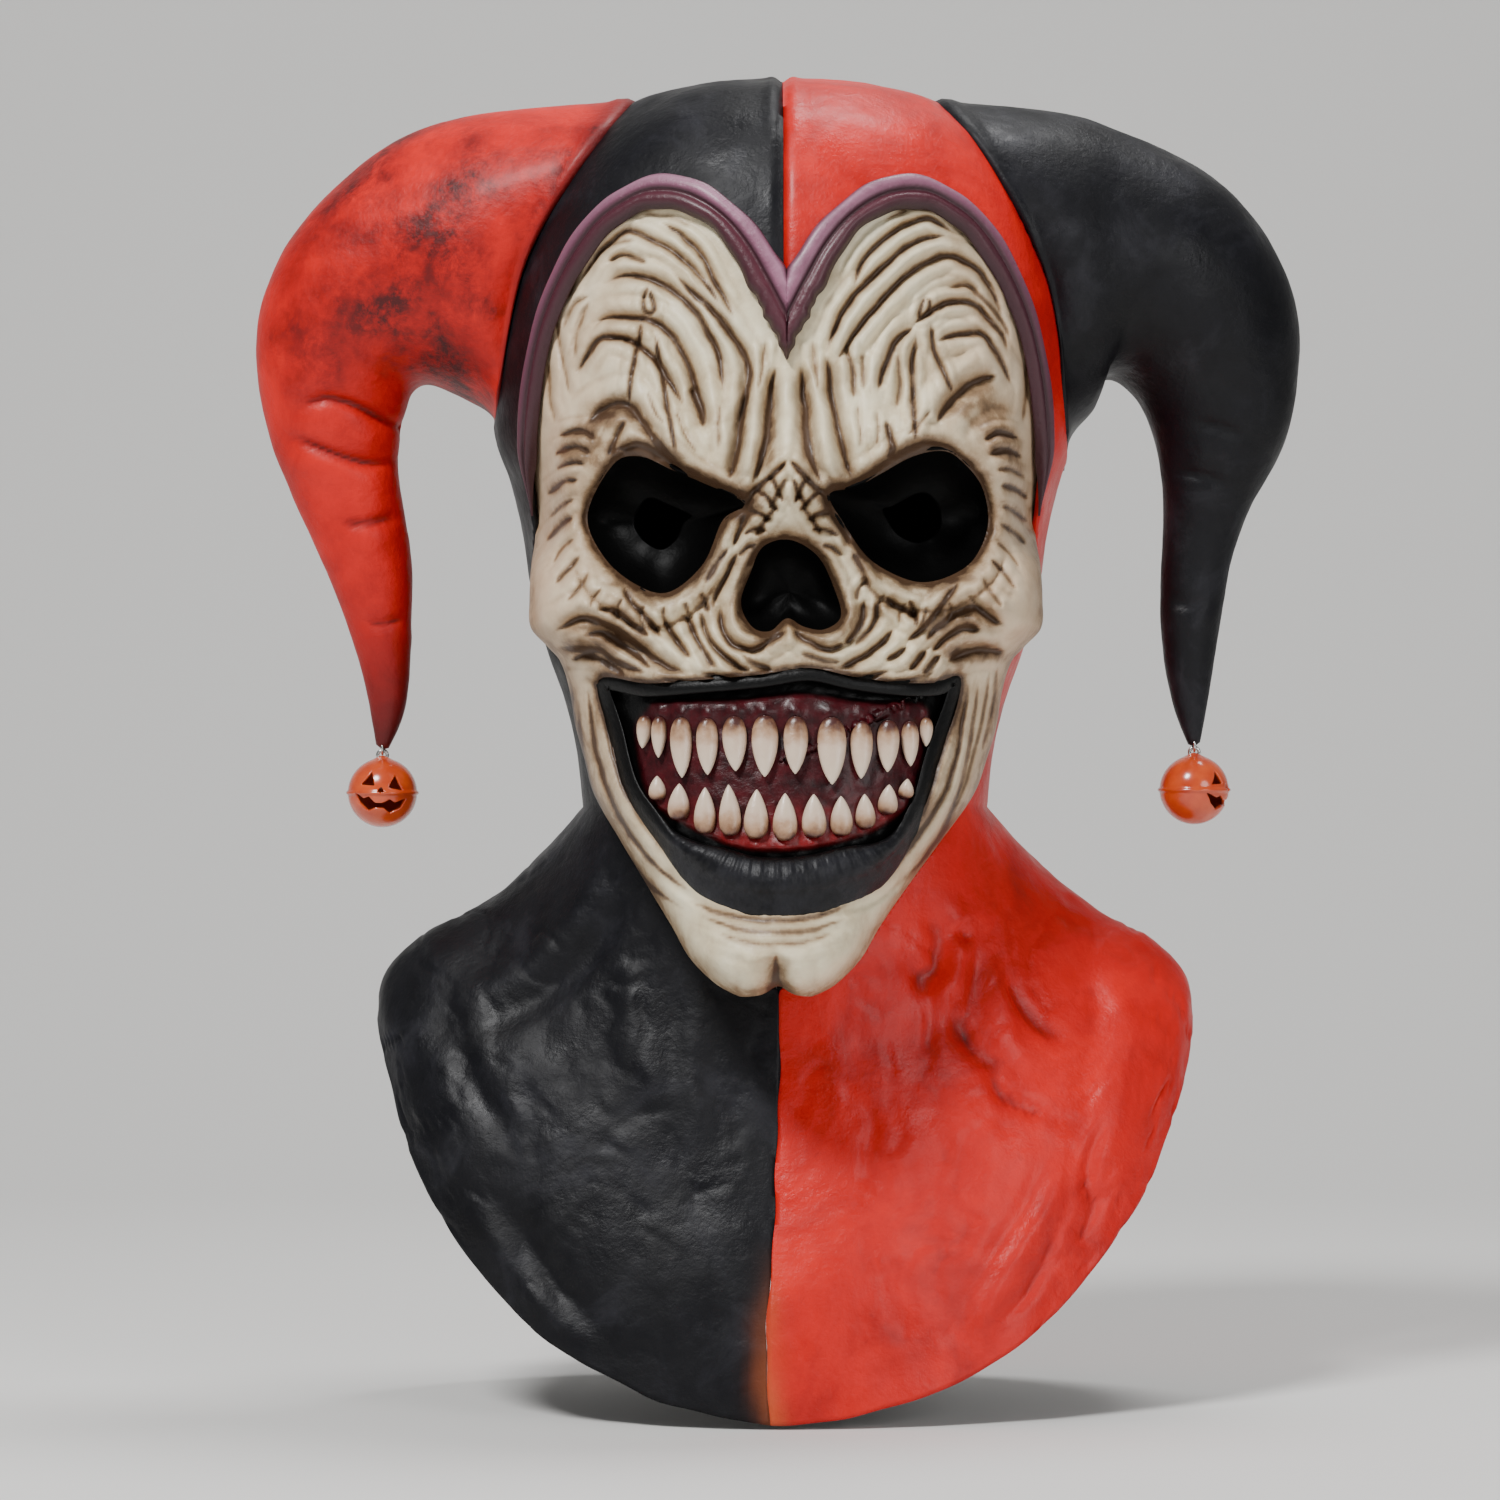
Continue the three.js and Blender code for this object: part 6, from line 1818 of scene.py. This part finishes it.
def add_light(name, place, aim, size, power):
    data = bpy.data.lights.new(name, "AREA")
    data.shape = "DISK"
    data.size = size
    data.energy = power
    obj = bpy.data.objects.new(name, data)
    obj.location = place
    obj.rotation_euler = (Vector(aim) - Vector(place)).to_track_quat("-Z", "Y").to_euler()
    bpy.context.scene.collection.objects.link(obj)


def add_camera():
    data = bpy.data.cameras.new("camera")
    data.sensor_width = 36
    data.lens = 36 * CAMERA_AWAY / (2 * PHOTO_MIDDLE * PIXEL_MM)
    obj = bpy.data.objects.new("camera", data)
    obj.location = (AIM_X * MM, -CAMERA_AWAY * MM, AIM_Z * MM)
    obj.rotation_euler = (math.pi / 2, 0, 0)
    bpy.context.scene.collection.objects.link(obj)
    bpy.context.scene.camera = obj


def finish_piece(obj, material, slot, *nodes, inside=None):
    obj.data.materials.append(material)
    obj.data.materials.append(inside or material)
    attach(obj, "root")
    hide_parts(*nodes)


def box_middle(name):
    """Middle of a solid's box and the height of its underside, in millimetres."""
    low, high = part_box(name)
    return np.array([(a + b) / 2 / MM for a, b in zip(low, high)]), low[2] / MM


def main():
    add_camera()
    middle = (-0.01, 0, -0.22)
    add_light("key", (-0.75, -1.25, 1.35), middle, 0.5, 46)
    add_light("fill", (1.1, -1.5, 0.3), middle, 0.8, 9)
    add_light("top", (0.3, 0.3, 1.4), middle, 0.6, 16)
    world = bpy.data.worlds.new("studio")
    world.use_nodes = True
    world.node_tree.nodes["Background"].inputs["Color"].default_value = (0.9, 0.92, 0.95, 1)
    world.node_tree.nodes["Background"].inputs["Strength"].default_value = 0.2
    bpy.context.scene.world = world
    build_stage()

    black = black_latex()
    red = red_latex()
    lining = new_material("dark_lining", (0.012, 0.01, 0.01), 0.8)[0]
    hood_left, hood_right = build_hood()
    finish_piece(hood_left, black, "black_latex", "hood_black", "bib_black", inside=lining)
    finish_piece(hood_right, red, "red_latex", "hood_red", "bib_red", inside=lining)
    horn = build_horn("horn_red_skin", RED_SEAM, RED_HORN, -1)
    finish_piece(horn, red_horn_latex(), "red_latex", "horn_red")
    horn = build_horn("horn_black_skin", BLACK_SEAM, BLACK_HORN, 1)
    finish_piece(horn, black, "black_latex", "horn_black")
    bone = bone_latex()
    finish_piece(build_face(), bone, "bone_latex", "skull_face")
    finish_piece(build_face_inside(), lining, "bone_latex", "skull_face")
    finish_piece(build_trim(), purple_latex(), "purple_latex", "face_trim")
    gloss = gloss_black()
    for name, outline, depth, hole in (("eye_socket_left", EYE_LEFT_LINE, 13, 0.36),
                                       ("eye_socket_right", EYE_RIGHT_LINE, 13, 0.36),
                                       ("nose_pit", NOSE_LINE, 9, 0)):
        finish_piece(build_socket(f"{name}_skin", outline, depth, hole), gloss, "gloss_black_latex", name)
    finish_piece(build_lips(), charcoal_latex(), "gloss_black_latex", "lips")
    finish_piece(build_gums(), maroon_latex(), "maroon_latex", "gums")
    ivory = tooth_latex()
    for kind, rows in (("upper", UPPER_TEETH), ("lower", LOWER_TEETH)):
        for i, row in enumerate(rows):
            name = f"{kind}_tooth_{i + 1}"
            finish_piece(build_tooth(name + "_form", row, kind == "upper"), ivory, "tooth_latex", name)
    orange = orange_enamel()
    steel, _, _ = new_material("steel_wire", (0.6, 0.6, 0.58), 0.25, 0, 1)
    for side, turn, tilt in (("left", 0, -8), ("right", 65, 0)):
        centre, bottom = box_middle(f"bell_{side}")
        centre[2] = bottom + BELL_RADIUS
        bell = build_bell(f"bell_{side}_ball", centre, turn, tilt)
        loop = build_ring(f"bell_{side}_loop", centre + (0, 0, BELL_RADIUS + 1.0), 1.6, 0.6, False)
        finish_piece(bell, orange, "orange_enamel", f"bell_{side}")
        finish_piece(loop, steel, "steel_wire", f"bell_{side}")
        centre, _ = box_middle(f"bell_ring_{side}")
        ring = build_ring(f"bell_ring_{side}_wire", centre, 1.9, 0.5, True)
        finish_piece(ring, steel, "steel_wire", f"bell_ring_{side}")


main()
